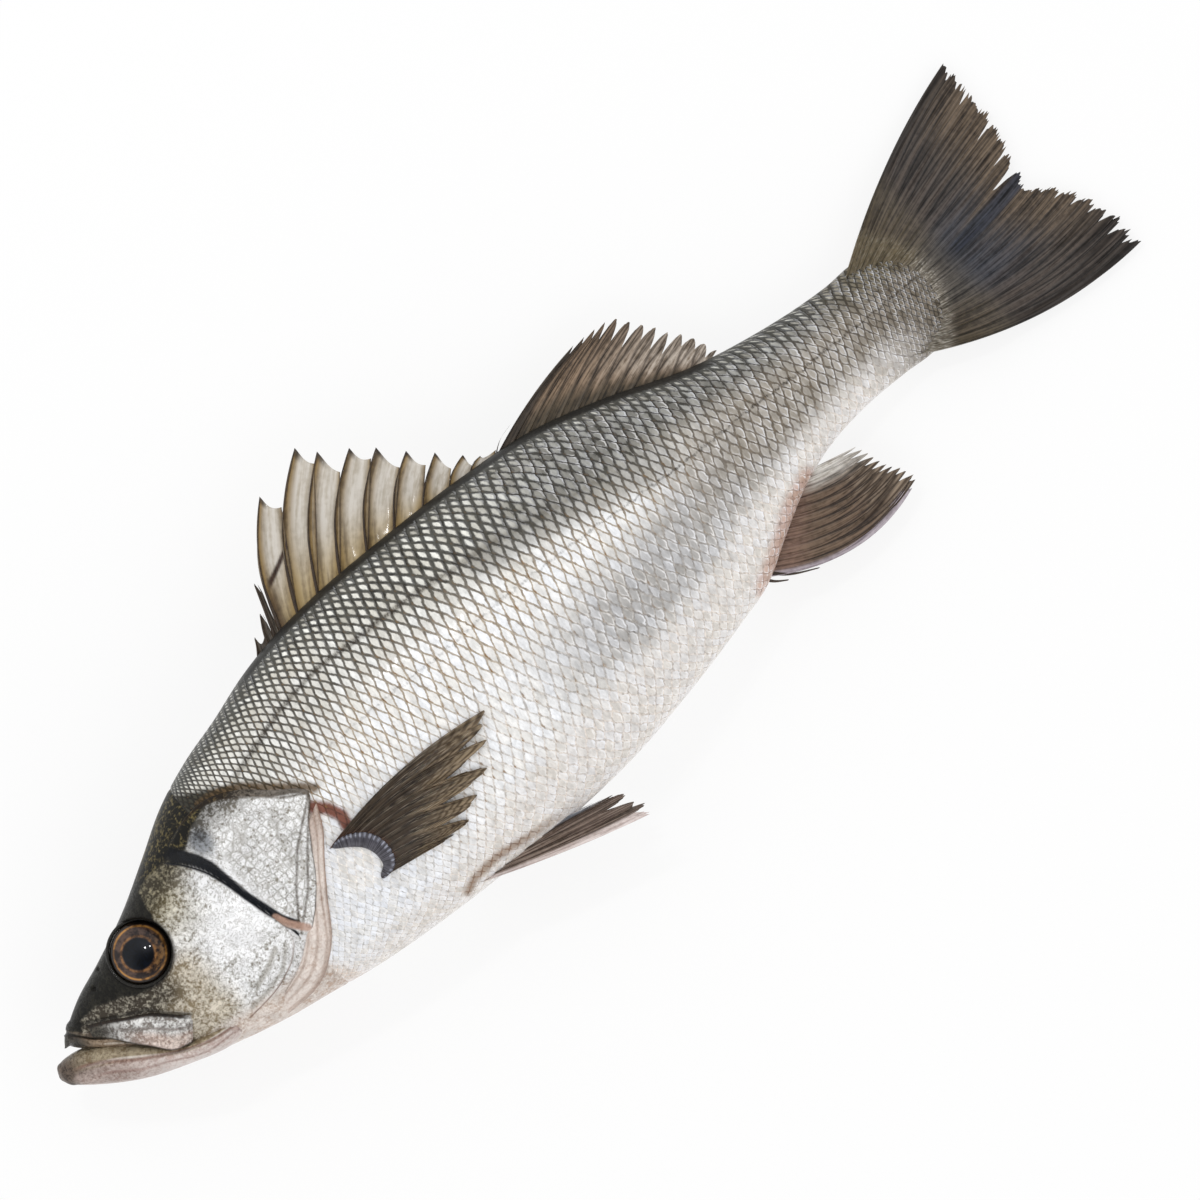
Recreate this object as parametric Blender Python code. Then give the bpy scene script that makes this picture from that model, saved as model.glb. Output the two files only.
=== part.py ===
# A whole raw fish with a spiny back fin, lying on its right side with its left side up.
# The body runs along X with the head towards -X, its back is towards +Y, and it rests on Z = 0.
# Profiles are in millimetres: S is the distance behind the upper lip and H the height above
# the straight line from the snout to the fork of the tail fin. Z is worked out from both.

import math

import bmesh
import bpy
import numpy as np
from mathutils import Vector

MM = 0.001

# Driving sizes, in millimetres
TOTAL_LENGTH = 500.7
LOWER_JAW_LEAD = 3.5
BOX_MIDDLE_H = 15.1
BODY_HALF_WIDTH = 33.3
BODY_START = 5.6
HEAD_START = 15.6
NECK = 138
TAIL_BASE = 400
BODY_END = 432.4
PRESSED_IN = 0.7
EYE_S = 50.2
EYE_H = 11.3
EYE_RADIUS = 11.3
EYE_HALF_DEPTH = 5.0
EYE_OUT = 14.4
EYE_LEAN = math.tan(math.radians(15))
EYE_RIM = 1.3
SEAT_GAP = 0.3
SPINE_RADIUS = 1.3
WEB_THICKNESS = 0.9
RAY_THICKNESS = 1.9
WEB_SHARE = 0.55
FIN_SINK = 4.0
PLATE_SINK = 1.6
FIN_DROOP = 0.12
WELD = 0.03

# Profiles of the body: (S, height or half width)
BACK = ((5.6, 4.4), (7, 6), (11, 8.7), (20, 13.5), (36, 18.9), (55, 26.2), (73, 35.3), (91, 44.7),
        (109, 50.9), (127, 54.9), (145, 59.6), (164, 62.5), (182, 63.3), (218, 61.8), (255, 58.5),
        (284, 53.8), (309, 45.5), (342, 31.6), (364, 25.5), (398, 19.8), (414, 18.9), (424, 15),
        (430, 9.5), (432.4, 3))
BELLY = ((5.6, 3.8), (7, 3.6), (14.5, -1.8), (22, -9.1), (29, -16.4), (37, -24), (42, -31), (48, -35),
         (55, -37.5), (73, -42.9), (91, -46.9), (109, -50.9), (145, -55.8), (182, -58.6), (209, -59.4),
         (236, -58.4), (255, -56), (291, -49.9), (309, -45.8), (327, -36.7), (345, -28.4),
         (358, -24.7), (382, -22.5), (398, -23.3), (414, -24.5), (424, -21.8), (430, -15), (432.4, -8))
HALF_WIDTH = ((5.6, 0.6), (7, 3.5), (11, 8), (20, 12), (36, 16.8), (55, 20.5), (73, 24), (95, 27.5),
              (120, 30), (140, 31.6), (164, 33), (185, BODY_HALF_WIDTH), (210, 32.6), (255, 29),
              (309, 22.5), (345, 16.4), (382, 10.9), (411, 7), (426, 4), (432.4, 1.8))
# Where the section is widest, as a share of the depth from belly to back
WIDEST = ((5.6, 0.5), (20, 0.4), (60, 0.42), (120, 0.48), (200, 0.52), (432.4, 0.5))
# How square the section is above its widest level: broad over the eyes, an oval from the neck on
CROWN = ((5.6, 2.4), (20, 3), (50, 4), (75, 3.4), (110, 2.4), (150, 2.0), (432.4, 2.0))
KEEL = 2.2
# Height of the body's middle plane above the floor: the tail droops
MIDDLE = ((-4, 25), (60, 29.5), (110, 31.8), (185, 31.8), (210, 31.2), (255, 28), (290, 23.8),
          (330, 18.5), (382, 12.5), (411, 9), (432, 7), (500, 2.6))

# Lower jaw: its upper and lower edge and its half width
JAW_TOP = ((-3.6, -2.6), (-2, 0.4), (1, 1.4), (4, 1.3), (11, -0.8), (18, -4.8), (26, -13), (37, -24),
           (60, -28))
JAW_BOTTOM = ((-3.6, -3.6), (-2.5, -6.5), (0, -9.1), (7.3, -15.3), (18.2, -22.9), (36.4, -31.3),
              (50, -36), (60, -37))
JAW_HALF_WIDTH = ((-3.6, 0.6), (-2, 3.6), (1, 6.2), (7, 9.2), (18, 12.6), (36, 17), (50, 17), (60, 14))
JAW_LENGTH = 63

# Plates of the head, each an inner line and an outer one, top to bottom, in (S, H)
CHEEK = (((70, 30), (71.5, 18), (71, 8), (69, -2), (67, -12), (65, -21), (60, -28)),
         ((82, 30), (88, 21), (92, 8), (94, -4), (96.5, -14), (97, -22), (92, -27.5), (83, -31.5),
          (62, -33.8)))
GILL_COVER = (((84, 32), (90, 22), (93, 9), (95, -3), (97.5, -13), (99.5, -20), (98, -25)),
              ((92, 35), (105.5, 35.6), (117, 30.5), (127, 21.5), (136.4, 12), (130, 4.5), (124, -3.6),
               (119, -11), (112, -18.5), (101, -27.5)))
GILL_SKIRT = (((126, 4), (118, -8), (110, -17), (101, -25), (92, -31), (78, -36)),
              ((137, 9), (131, -2), (124.5, -9.5), (116.5, -19.5), (104, -34.5), (93, -41), (73, -42)))
LIP_BONE = (((17, 4), (24, -2), (32, -9), (40, -16), (48.5, -20)),
            ((14.6, -0.6), (21, -6), (29, -13.5), (36, -22.5), (44.5, -24.5)))
# Each plate with its proud height along both lines, and its facets along and across
PLATES = ((CHEEK, -0.9, 1.3, 10, 2), (GILL_COVER, 0.6, 1.6, 12, 3), (GILL_SKIRT, 0.8, 0.8, 10, 1),
          (LIP_BONE, 0.6, 1.5, 6, 1))

# Spines of the back: foot S, a point halfway (S, H) and the tip (S, H)
SPINES = ((152, 157.5, 65.5, 158.2, 66.9), (159.5, 163, 68, 165.5, 72), (163.5, 167.5, 71.5, 171.3, 81.5),
          (166.5, 177, 85, 194.2, 103.6), (174.5, 192, 89, 215.6, 108), (184.4, 201, 85, 220.7, 101.5),
          (194.9, 212, 82, 230.2, 94.5), (207.6, 222, 77.5, 237.5, 88), (220, 234, 73.5, 244.7, 79.6),
          (232.7, 243, 67, 252, 72), (244.7, 252, 62.5, 258.9, 64.4), (254.5, 259.5, 59.6, 263.3, 59.8),
          (265, 273, 59.4, 279.3, 60.9))
# Where the web behind each spine meets the next one; the last spine has none
WEB_ENDS = ((162, 68), (166.5, 75), (173, 84), (197.5, 95.3), (217, 98.9), (221.8, 90.2), (233.5, 86.2),
            (238.9, 76.7), (246.5, 70.9), (252.4, 63.6), (258.9, 58.9))

# Soft fins: the root, front to rear or top to bottom, and the free edge in the same order
SOFT_BACK_ROOT = (270, 343.6)
SOFT_BACK_EDGE = ((316.4, 66.5), (327.3, 65.8), (334.2, 64.4), (338.5, 58.9), (341.8, 53.5),
                  (345.8, 46.5), (348, 43.6), (351.3, 37.1), (353.5, 29.8))
ANAL_ROOT = (308, 345)
ANAL_EDGE = ((372.7, -56.3), (376.4, -53.5), (374.5, -47.6), (371.6, -43.3), (370.2, -38.5), (367.3, -31))
TAIL_ROOT = ((405, 16.5), (413, 9), (415, -2), (413, -13), (405, -20.5))
TAIL_EDGE = ((485, 51.5), (488.2, 48), (488, 38), (487.5, 27), (484.5, 15.5), (480.7, 5.5), (470, 2.2),
             (480, -4), (487.5, -11), (493.5, -22), (497.1, -36), (496.5, -45), (486, -49.3))
BREAST_ROOT = ((128, -8), (135.3, -10.9), (140, -15.3), (141.5, -21.8), (140, -26.2), (134.5, -28.4))
BREAST_EDGE = ((203.6, -9.1), (202.5, -12.4), (200, -17.5), (196.4, -21), (192.7, -26.5),
               (181.8, -32), (174.5, -35.3), (160, -34.2))
BELLY_FIN_ROOT = ((150, -50), (158, -47))
BELLY_FIN_EDGE = ((220.5, -77.8), (222.5, -75), (219, -70.5), (219, -66.5), (211, -62.5), (204, -60))


def smooth_line(points):
    """A smooth curve through (x, y) points, as a function of x."""
    xs, ys = np.array(points, dtype=float).T
    slopes = np.gradient(ys, xs)

    def value(x):
        x = min(max(x, xs[0]), xs[-1])
        i = min(max(int(np.searchsorted(xs, x)) - 1, 0), len(xs) - 2)
        step = xs[i + 1] - xs[i]
        t = (x - xs[i]) / step
        start = ys[i] * (1 + 2 * t) + slopes[i] * step * t
        end = ys[i + 1] * (3 - 2 * t) + slopes[i + 1] * step * (t - 1)
        return float(start * (1 - t) ** 2 + end * t ** 2)

    return value


def smooth_path(points):
    """A smooth path through (S, H) points, as a function of the share of its length."""
    line = np.array(points, dtype=float)
    steps = np.hypot(*np.diff(line, axis=0).T)
    reached = np.concatenate(([0], np.cumsum(steps))) / steps.sum()
    along = smooth_line(tuple(zip(reached, line[:, 0])))
    up = smooth_line(tuple(zip(reached, line[:, 1])))
    return lambda u: (along(u), up(u))


back, belly, middle = smooth_line(BACK), smooth_line(BELLY), smooth_line(MIDDLE)
half_width, widest, crown = smooth_line(HALF_WIDTH), smooth_line(WIDEST), smooth_line(CROWN)


def place(s, h, z):
    """The point in metres, with the box of the whole fish centred on the origin."""
    return Vector((s + LOWER_JAW_LEAD - TOTAL_LENGTH / 2, h - BOX_MIDDLE_H, z)) * MM


def clamp(value, low=0.0, high=1.0):
    return min(max(value, low), high)


def section(s, share):
    """Half thickness of the body, where share runs from -1 at the belly to 1 at the back."""
    power = crown(s) if share > 0 else KEEL
    root = 1 + crown(s) / 2 if share > 0 else 2
    return half_width(s) * clamp(1 - abs(share) ** power) ** (1 / root)


def widest_height(s):
    return belly(s) + widest(s) * (back(s) - belly(s))


def half_thickness(s, h):
    """Distance from the middle plane to the skin at S, H."""
    wide = widest_height(s)
    reach = back(s) - wide if h > wide else wide - belly(s)
    return section(s, clamp((h - wide) / reach, -1, 1))


def floor_height(s, h):
    """Lowest height of the skin: zero, but for the hollow where the right breast fin is pressed in."""
    lengthwise = clamp((212 - s) / 8) * clamp((s - 118) / 8)
    across = clamp((4 - h) / 6) * clamp((h + 44) / 6)
    return PRESSED_IN * lengthwise * across


def new_object(name, bm, collection):
    """A mesh object from a finished closed bmesh, with its faces pointing out."""
    if bm.calc_volume(signed=True) < 0:
        bmesh.ops.reverse_faces(bm, faces=bm.faces)
    mesh = bpy.data.meshes.new(name)
    bm.to_mesh(mesh)
    bm.free()
    piece = bpy.data.objects.new(name, mesh)
    collection.objects.link(piece)
    return piece


def loft(name, stations, around, ring, collection, closed=False):
    """A tube with one ring of points at each station, capped, or closed on itself."""
    bm = bmesh.new()
    bmesh.ops.create_cone(bm, cap_ends=not closed, segments=around, radius1=1, radius2=1, depth=1)
    lengthwise = [e for e in bm.edges if abs(e.verts[0].co.z - e.verts[1].co.z) > 0.5]
    bmesh.ops.subdivide_edges(bm, edges=lengthwise, cuts=len(stations) - 2, use_grid_fill=True)
    for v in bm.verts:
        row = round((v.co.z + 0.5) * (len(stations) - 1))
        v.co = ring(stations[row], math.atan2(v.co.y, v.co.x))
    if closed:
        bmesh.ops.remove_doubles(bm, verts=bm.verts, dist=WELD * MM)
    return new_object(name, bm, collection)


def slab(name, columns, rows, point, collection):
    """A closed plate: point(u, v, side) places it, side being 0 below and 1 above."""
    bm = bmesh.new()
    bmesh.ops.create_grid(bm, x_segments=columns, y_segments=rows, size=0.5)
    grown = bmesh.ops.extrude_face_region(bm, geom=bm.faces[:], use_keep_orig=True)["geom"]
    for v in (g for g in grown if isinstance(g, bmesh.types.BMVert)):
        v.co.z = 1
    for v in bm.verts:
        v.co = point(v.co.x + 0.5, v.co.y + 0.5, round(v.co.z))
    return new_object(name, bm, collection)


def steps(start, end, count):
    return [start + (end - start) * k / count for k in range(count)]


def trunk(collection):
    """Body and upper head in one loft, flattened where it lies on the floor."""
    turn = math.pi / 2
    snout = [BODY_START + (HEAD_START - BODY_START) * (1 - math.cos(turn * k / 3)) for k in range(3)]
    tail = [TAIL_BASE + (BODY_END - TAIL_BASE) * math.sin(turn * k / 5) for k in range(6)]
    stations = snout + steps(HEAD_START, NECK, 17) + steps(NECK, TAIL_BASE, 22) + tail

    def ring(s, angle):
        share, wide = math.sin(angle), widest_height(s)
        h = wide + share * (back(s) - wide if share > 0 else wide - belly(s))
        z = middle(s) + math.copysign(section(s, share), math.cos(angle))
        return place(s, h, max(z, floor_height(s, h)))

    return loft("trunk", stations, 32, ring, collection)


def lower_jaw(collection):
    """The jaw, which hangs a little open below the snout and runs back into the throat."""
    top, bottom, width = smooth_line(JAW_TOP), smooth_line(JAW_BOTTOM), smooth_line(JAW_HALF_WIDTH)
    stations = [JAW_LENGTH * (k / 11) ** 1.5 - LOWER_JAW_LEAD for k in range(12)]

    def ring(s, angle):
        h = (top(s) + bottom(s)) / 2 + math.sin(angle) * (top(s) - bottom(s)) / 2
        return place(s, h, middle(s) + math.cos(angle) * width(s))

    loft("lower_jaw", stations, 16, ring, collection)


def head_plates(collection):
    """Cheek, gill cover, the skirt of skin behind it and the lip bone, on both sides."""
    for (inner, outer), inner_proud, outer_proud, columns, rows in PLATES:
        inner_line, outer_line = smooth_path(inner), smooth_path(outer)
        for sign in (1, -1):

            def point(u, v, side):
                (s0, h0), (s1, h1) = inner_line(u), outer_line(u)
                s, h = s0 + (s1 - s0) * v, h0 + (h1 - h0) * v
                proud = inner_proud + (outer_proud - inner_proud) * v if side else -PLATE_SINK
                return place(s, h, max(middle(s) + sign * (half_thickness(s, h) + proud), 0.15))

            slab("head_plate", columns, rows, point, collection)


def eye_ring(x, y, out, sign):
    """A point near an eye, given across it and out of the head; the eyes lean towards the back."""
    return place(EYE_S + x, EYE_H + y, middle(EYE_S) + sign * (EYE_OUT + out - EYE_LEAN * y))


def eye_rims(collection):
    """The raised ring of skin round each eye."""
    for sign in (1, -1):

        def ring(u, angle):
            turn, radius = u * 2 * math.pi, EYE_RADIUS + EYE_RIM + EYE_RIM * 0.85 * math.cos(angle)
            out = EYE_RIM * (0.6 + math.sin(angle))
            return eye_ring(radius * math.cos(turn), radius * math.sin(turn), out, sign)

        loft("eye_rim", [k / 20 for k in range(21)], 6, ring, collection, closed=True)


def eye_ball(name, grow, sign, collection):
    """A flattened ball. The socket's cutter is grown, with its outer half drawn out of the head."""
    bm = bmesh.new()
    bmesh.ops.create_uvsphere(bm, u_segments=20, v_segments=10, radius=1)
    for v in bm.verts:
        drawn_out = EYE_RADIUS if grow and v.co.z > 0.01 else 0
        out = v.co.z * (EYE_HALF_DEPTH + grow) + drawn_out
        v.co = eye_ring(v.co.x * (EYE_RADIUS + grow), v.co.y * (EYE_RADIUS + grow), out, sign)
    return new_object(name, bm, collection)


def fin_plane(s, h):
    """Height of the fins that stand in the middle plane, which droop towards the floor."""
    outside = max(h - back(s), belly(s) - h, 0) if s < TAIL_BASE - 20 else 0
    return middle(s) - FIN_DROOP * outside


def spiny_fin(collection):
    """First back fin: stiff spines with webs of skin between them."""
    rods = []
    for foot, bend_s, bend_h, tip_s, tip_h in SPINES:
        line = smooth_path(((foot - 1, back(foot) - FIN_SINK), (bend_s, bend_h), (tip_s, tip_h)))
        rods.append(line)

        def ring(u, angle):
            s, h = line(u)
            radius = SPINE_RADIUS * (1 - 0.6 * u)
            return place(s + radius * math.cos(angle), h, fin_plane(s, h) + radius * math.sin(angle))

        loft("spine", [k / 4 for k in range(5)], 5, ring, collection)

    for front, rear, (end_s, end_h) in zip(rods, rods[1:], WEB_ENDS):
        (foot_s, foot_h), (bow_s, bow_h), (tip_s, tip_h) = front(0), front(0.5), front(1)
        next_s, next_h = rear(0)

        def point(u, v, side):
            edge_s = tip_s + (end_s - tip_s) * u ** 1.5
            edge_h = tip_h + (end_h - tip_h) * (u + math.sin(u * math.pi / 2)) / 2
            root_s, root_h = foot_s + (next_s - foot_s) * u, foot_h + (next_h - foot_h) * u
            bow = 4 * v * (1 - v) * (1 - u)
            s = root_s + (edge_s - root_s) * v + bow * (bow_s - (foot_s + tip_s) / 2)
            h = root_h + (edge_h - root_h) * v + bow * (bow_h - (foot_h + tip_h) / 2)
            return place(s, h, fin_plane(s, h) + WEB_THICKNESS * (side - 0.5))

        slab("web", 3, 3, point, collection)


def rayed_fin(name, root, edge, rays, rows, bows, notch, height, collection):
    """A fin of soft rays: every second column is a ray, thicker and longer than the web.
    bows are how far the first ray and the last one curve away from a straight line."""
    columns = 2 * rays

    def point(u, v, side):
        is_ray = round(u * columns) % 2 == 0
        (s0, h0), (s1, h1) = root(u), edge(u)
        reach = v * (1 if is_ray else 1 - notch)
        bow = (bows[0] * (1 - u) + bows[1] * u) * 4 * v * (1 - v)
        s, h = s0 + (s1 - s0) * reach, h0 + (h1 - h0) * reach + bow
        return place(s, h, height(s, h, v, side, is_ray))

    slab(name, columns, rows, point, collection)


def upright_fins(collection):
    """Soft back fin, anal fin and tail fin, all in the middle plane."""

    def centred(root_share, edge_share):
        def height(s, h, v, side, is_ray):
            thick = RAY_THICKNESS * (root_share + (edge_share - root_share) * v)
            return fin_plane(s, h) + thick * (1 if is_ray else WEB_SHARE) * (side - 0.5)

        return height

    def along(line, span, sink):
        return lambda u: (span[0] + (span[1] - span[0]) * u, line(span[0] + (span[1] - span[0]) * u) + sink)

    rayed_fin("soft_back_fin", along(back, SOFT_BACK_ROOT, -FIN_SINK), smooth_path(SOFT_BACK_EDGE),
              12, 3, (3.5, 0), 0.05, centred(1.25, 0.5), collection)
    rayed_fin("anal_fin", along(belly, ANAL_ROOT, FIN_SINK), smooth_path(ANAL_EDGE),
              11, 3, (-8.5, 0), 0.05, centred(1.25, 0.5), collection)
    rayed_fin("tail_fin", smooth_path(TAIL_ROOT), smooth_path(TAIL_EDGE),
              17, 4, (3.8, -3.8), 0.03, centred(1.9, 0.6), collection)


def breast_fins(collection):
    """The fins behind the gill covers, lying flat on both flanks."""
    for sign in (1, -1):

        def on_flank(s, h, v, side, is_ray):
            skin = middle(s) + sign * half_thickness(s, h)
            if side:
                proud = (1.25 if is_ray else 0.8) + 0.5 * v
                return max(skin + sign * proud, 0 if is_ray else PRESSED_IN / 2)
            return max(skin, floor_height(s, h)) - sign * PLATE_SINK * 0.7

        rayed_fin("breast_fin", smooth_path(BREAST_ROOT), smooth_path(BREAST_EDGE),
                  11, 3, (4, 0), 0.04, on_flank, collection)


def belly_fins(collection):
    """The pair of fins below the breast fins, folded back along the belly."""
    for root_out, tip_out in ((10, 6), (-10, -13)):

        def height(s, h, v, side, is_ray):
            thick = RAY_THICKNESS * (1.5 - 0.8 * v) * (1 if is_ray else WEB_SHARE)
            return middle(s) + root_out + (tip_out - root_out) * v + thick * (side - 0.5)

        rayed_fin("belly_fin", smooth_path(BELLY_FIN_ROOT), smooth_path(BELLY_FIN_EDGE),
                  6, 4, (-4.5, 0), 0.05, height, collection)


def apply_boolean(piece, operation, other=None, collection=None):
    """Joins a collection to the piece, or cuts one object out of it, and keeps the result."""
    modifier = piece.modifiers.new(operation.title(), "BOOLEAN")
    modifier.operation = operation
    modifier.solver = "MANIFOLD"
    if collection:
        modifier.operand_type = "COLLECTION"
        modifier.collection = collection
    else:
        modifier.object = other
    evaluated = piece.evaluated_get(bpy.context.evaluated_depsgraph_get())
    mesh = bpy.data.meshes.new_from_object(evaluated)
    piece.modifiers.clear()
    piece.data = mesh


def weld_short_edges(piece):
    """Closes up the tiny edges that joining leaves, wherever the skin stays closed."""
    bm = bmesh.new()
    bm.from_mesh(piece.data)
    bmesh.ops.triangulate(bm, faces=bm.faces)
    for edge in list(bm.edges):
        if not edge.is_valid or edge.calc_length() > WELD * MM:
            continue
        near, far = ({e.other_vert(v) for e in v.link_edges} for v in edge.verts)
        if len(near & far) == 2:
            bmesh.ops.collapse(bm, edges=[edge])
    bm.to_mesh(piece.data)
    bm.free()


def dress(piece, name, colour, roughness):
    """Gives a piece its one Principled material, shaded smooth but for the sharp edges."""
    made = bpy.data.materials.new(name)
    made.use_nodes = True
    shader = made.node_tree.nodes["Principled BSDF"]
    shader.inputs["Base Color"].default_value = (*colour, 1)
    shader.inputs["Roughness"].default_value = roughness
    shader.inputs["Metallic"].default_value = 0
    piece.data.materials.clear()
    piece.data.materials.append(made)
    piece.data.shade_smooth()
    piece.data.set_sharp_from_angle(angle=math.radians(35))


for leftover in list(bpy.data.objects):
    bpy.data.objects.remove(leftover)

whole_fish = bpy.data.collections.new("whole_fish")
joined_pieces = bpy.data.collections.new("joined_pieces")
cutters = bpy.data.collections.new("cutters")
for group in (whole_fish, joined_pieces, cutters):
    bpy.context.scene.collection.children.link(group)

fish = trunk(whole_fish)
fish.name = "fish"
for grow_piece in (lower_jaw, head_plates, eye_rims, spiny_fin, upright_fins, breast_fins, belly_fins):
    grow_piece(joined_pieces)
apply_boolean(fish, "UNION", collection=joined_pieces)
for piece in list(joined_pieces.objects):
    bpy.data.objects.remove(piece)
bpy.data.collections.remove(joined_pieces)

for side, sign in (("left", 1), ("right", -1)):
    socket = eye_ball("socket_" + side, SEAT_GAP, sign, cutters)
    socket.hide_render = True
    socket.display_type = "WIRE"
    apply_boolean(fish, "DIFFERENCE", other=socket)
    dress(eye_ball("eye_" + side, 0, sign, whole_fish), "eye_" + side, (0.02, 0.03, 0.05), 0.1)

weld_short_edges(fish)
dress(fish, "skin", (0.42, 0.41, 0.38), 0.3)
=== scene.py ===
import math

import bmesh
import bpy
import numpy as np
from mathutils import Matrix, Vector


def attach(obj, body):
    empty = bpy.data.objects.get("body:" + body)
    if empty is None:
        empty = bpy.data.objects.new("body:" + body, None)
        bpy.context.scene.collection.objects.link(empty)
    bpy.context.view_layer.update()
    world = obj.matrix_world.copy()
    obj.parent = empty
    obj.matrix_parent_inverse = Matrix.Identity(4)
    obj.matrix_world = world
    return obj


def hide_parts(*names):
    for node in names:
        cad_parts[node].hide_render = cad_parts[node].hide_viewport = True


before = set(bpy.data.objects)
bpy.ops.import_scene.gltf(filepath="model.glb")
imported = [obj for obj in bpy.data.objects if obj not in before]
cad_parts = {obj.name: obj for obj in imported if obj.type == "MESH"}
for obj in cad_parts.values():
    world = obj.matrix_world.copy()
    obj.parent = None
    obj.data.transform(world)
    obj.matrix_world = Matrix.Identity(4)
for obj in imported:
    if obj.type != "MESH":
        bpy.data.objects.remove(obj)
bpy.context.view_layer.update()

MM = 0.001
TOTAL_LENGTH = 500.7
LOWER_JAW_LEAD = 3.5
BOX_MIDDLE_H = 15.1
VIEW_MIDDLE_S = 259.7
VIEW_MIDDLE_H = -8.4
VIEW_TURN = math.radians(-42.774)
PHOTO_SIDE = 436.4
SUBJECT_HEIGHT = 32
CAMERA_HEIGHT = 2000
SENSOR = 36


def place(s, h, z):
    """World points in metres for arrays of S, H and Z, as the CAD source places them."""
    return np.stack(np.broadcast_arrays(s + LOWER_JAW_LEAD - TOTAL_LENGTH / 2, h - BOX_MIDDLE_H, z), -1) * MM


camera = bpy.data.objects.new("camera", bpy.data.cameras.new("camera"))
bpy.context.scene.collection.objects.link(camera)
camera.data.sensor_width = SENSOR
camera.data.lens = SENSOR * CAMERA_HEIGHT / PHOTO_SIDE
camera.location = place(VIEW_MIDDLE_S, VIEW_MIDDLE_H, SUBJECT_HEIGHT + CAMERA_HEIGHT)
camera.rotation_euler = (0, 0, VIEW_TURN)
bpy.context.scene.camera = camera

# Scaled skin of the two flanks
# Thin overlapping scales in slanting rows, each a silver lozenge under clear wet skin, dark along
# the back and cream along the belly. They grow out of the skin and cover it from the nape to the tail.
BODY_HALF_WIDTH = 33.3
KEEL = 2.2
PRESSED_IN = 0.7
BODY_START = 5.6
BODY_END = 432.4
FLANK_START = 88
BACK = ((5.6, 4.4), (7, 6), (11, 8.7), (20, 13.5), (36, 18.9), (55, 26.2), (73, 35.3), (91, 44.7),
        (109, 50.9), (127, 54.9), (145, 59.6), (164, 62.5), (182, 63.3), (218, 61.8), (255, 58.5),
        (284, 53.8), (309, 45.5), (342, 31.6), (364, 25.5), (398, 19.8), (414, 18.9), (424, 15),
        (430, 9.5), (432.4, 3))
BELLY = ((5.6, 3.8), (7, 3.6), (14.5, -1.8), (22, -9.1), (29, -16.4), (37, -24), (42, -31), (48, -35),
         (55, -37.5), (73, -42.9), (91, -46.9), (109, -50.9), (145, -55.8), (182, -58.6), (209, -59.4),
         (236, -58.4), (255, -56), (291, -49.9), (309, -45.8), (327, -36.7), (345, -28.4),
         (358, -24.7), (382, -22.5), (398, -23.3), (414, -24.5), (424, -21.8), (430, -15), (432.4, -8))
HALF_WIDTH = ((5.6, 0.6), (7, 3.5), (11, 8), (20, 12), (36, 16.8), (55, 20.5), (73, 24), (95, 27.5),
              (120, 30), (140, 31.6), (164, 33), (185, BODY_HALF_WIDTH), (210, 32.6), (255, 29),
              (309, 22.5), (345, 16.4), (382, 10.9), (411, 7), (426, 4), (432.4, 1.4))
WIDEST = ((5.6, 0.5), (20, 0.4), (60, 0.42), (120, 0.48), (200, 0.52), (432.4, 0.5))
CROWN = ((5.6, 2.4), (20, 3), (50, 4), (75, 3.4), (110, 2.4), (150, 2.0), (432.4, 2.0))
MIDDLE = ((-4, 25), (60, 29.5), (110, 31.8), (185, 31.8), (210, 31.2), (255, 28), (290, 23.8),
          (330, 18.5), (382, 12.5), (411, 9), (432, 7), (500, 2.6))

# Scales: distance between columns and between rows at the side line, along the body, and how fast
# the rows close up towards the back and the belly
COLUMN_PITCH = ((88, 2.5), (110, 2.7), (127, 2.9), (145, 3.2), (182, 3.9), (218, 4.4), (255, 4.3),
                (291, 3.95), (327, 3.8), (364, 3.75), (393, 3.2), (411, 2.2), (BODY_END, 1.6))
ROW_PITCH = ((88, 3.0), (127, 3.6), (145, 4.4), (182, 5.3), (218, 6.2), (255, 5.7), (291, 5.1),
             (327, 4.3), (364, 3.9), (393, 3.2), (411, 2.2), (BODY_END, 1.6))
ROWS_CLOSE_UP = 70
ROWS_CLOSE_DOWN = 97
SIDE_LINE = ((88, 19), (130, 19), (171, 18.2), (204, 16.1), (234, 15.6), (259, 13.8), (279, 11.6),
             (310, 8), (344, 5.5), (375, 3), (410, 0.7), (BODY_END, -0.4))
UPPER_LINE = ((120, 33.8), (131, 36.4), (145, 40), (156, 41.8), (171, 42.5), (185, 40.7), (204, 39.3),
              (218, 37.5), (229, 35.3), (240, 33.8), (262, 29), (290, 23.5))
COLUMN_LEAN = 0.0045
LEAN_REACH = 40
SCALE_STEPS = 6
SCALE_RISE = 0.2
UNDER_HEAD = (99.5, 97)

# Colours of the cells and of the lines between them, from the middle of the flank outwards
SILVER_CELL, SILVER_LINE, PALE_LINE = "FCFCFC", "A89B8A", "D2CDC8"
UPPER_CELL, UPPER_DARK = "F1EFE8", "4B473E"
BACK_CELL, BACK_DARK = "F6F4EA", "2B2A23"
REAR_BACK_CELL, REAR_BACK_DARK = "A9A8A2", "2B2923"
RIDGE_CELL, RIDGE_DARK = "E2E0D6", "24241F"
# The slate cell and line colours are painted reflection on the lower flank
REFLECTED_SLATE_CELL, REFLECTED_SLATE_LINE = "B3B1B0", "8C8884"
TAN_CELL, TAN_LINE = "B5AEA4", "665D51"
BELLY_CELL, BELLY_LINE = "E9E5E1", "D3CBC4"
CHEST_CELL, CHEST_LINE = "F3F4F7", "D5D4D3"
TAIL_CELL, TAIL_LINE = "8A7F6F", "38322A"
NAPE_CELL, NAPE_LINE = "3D3A2C", "1D1B15"
GOLD_BROWN = "8A6A42"
FLESH = "C9A08C"


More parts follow.
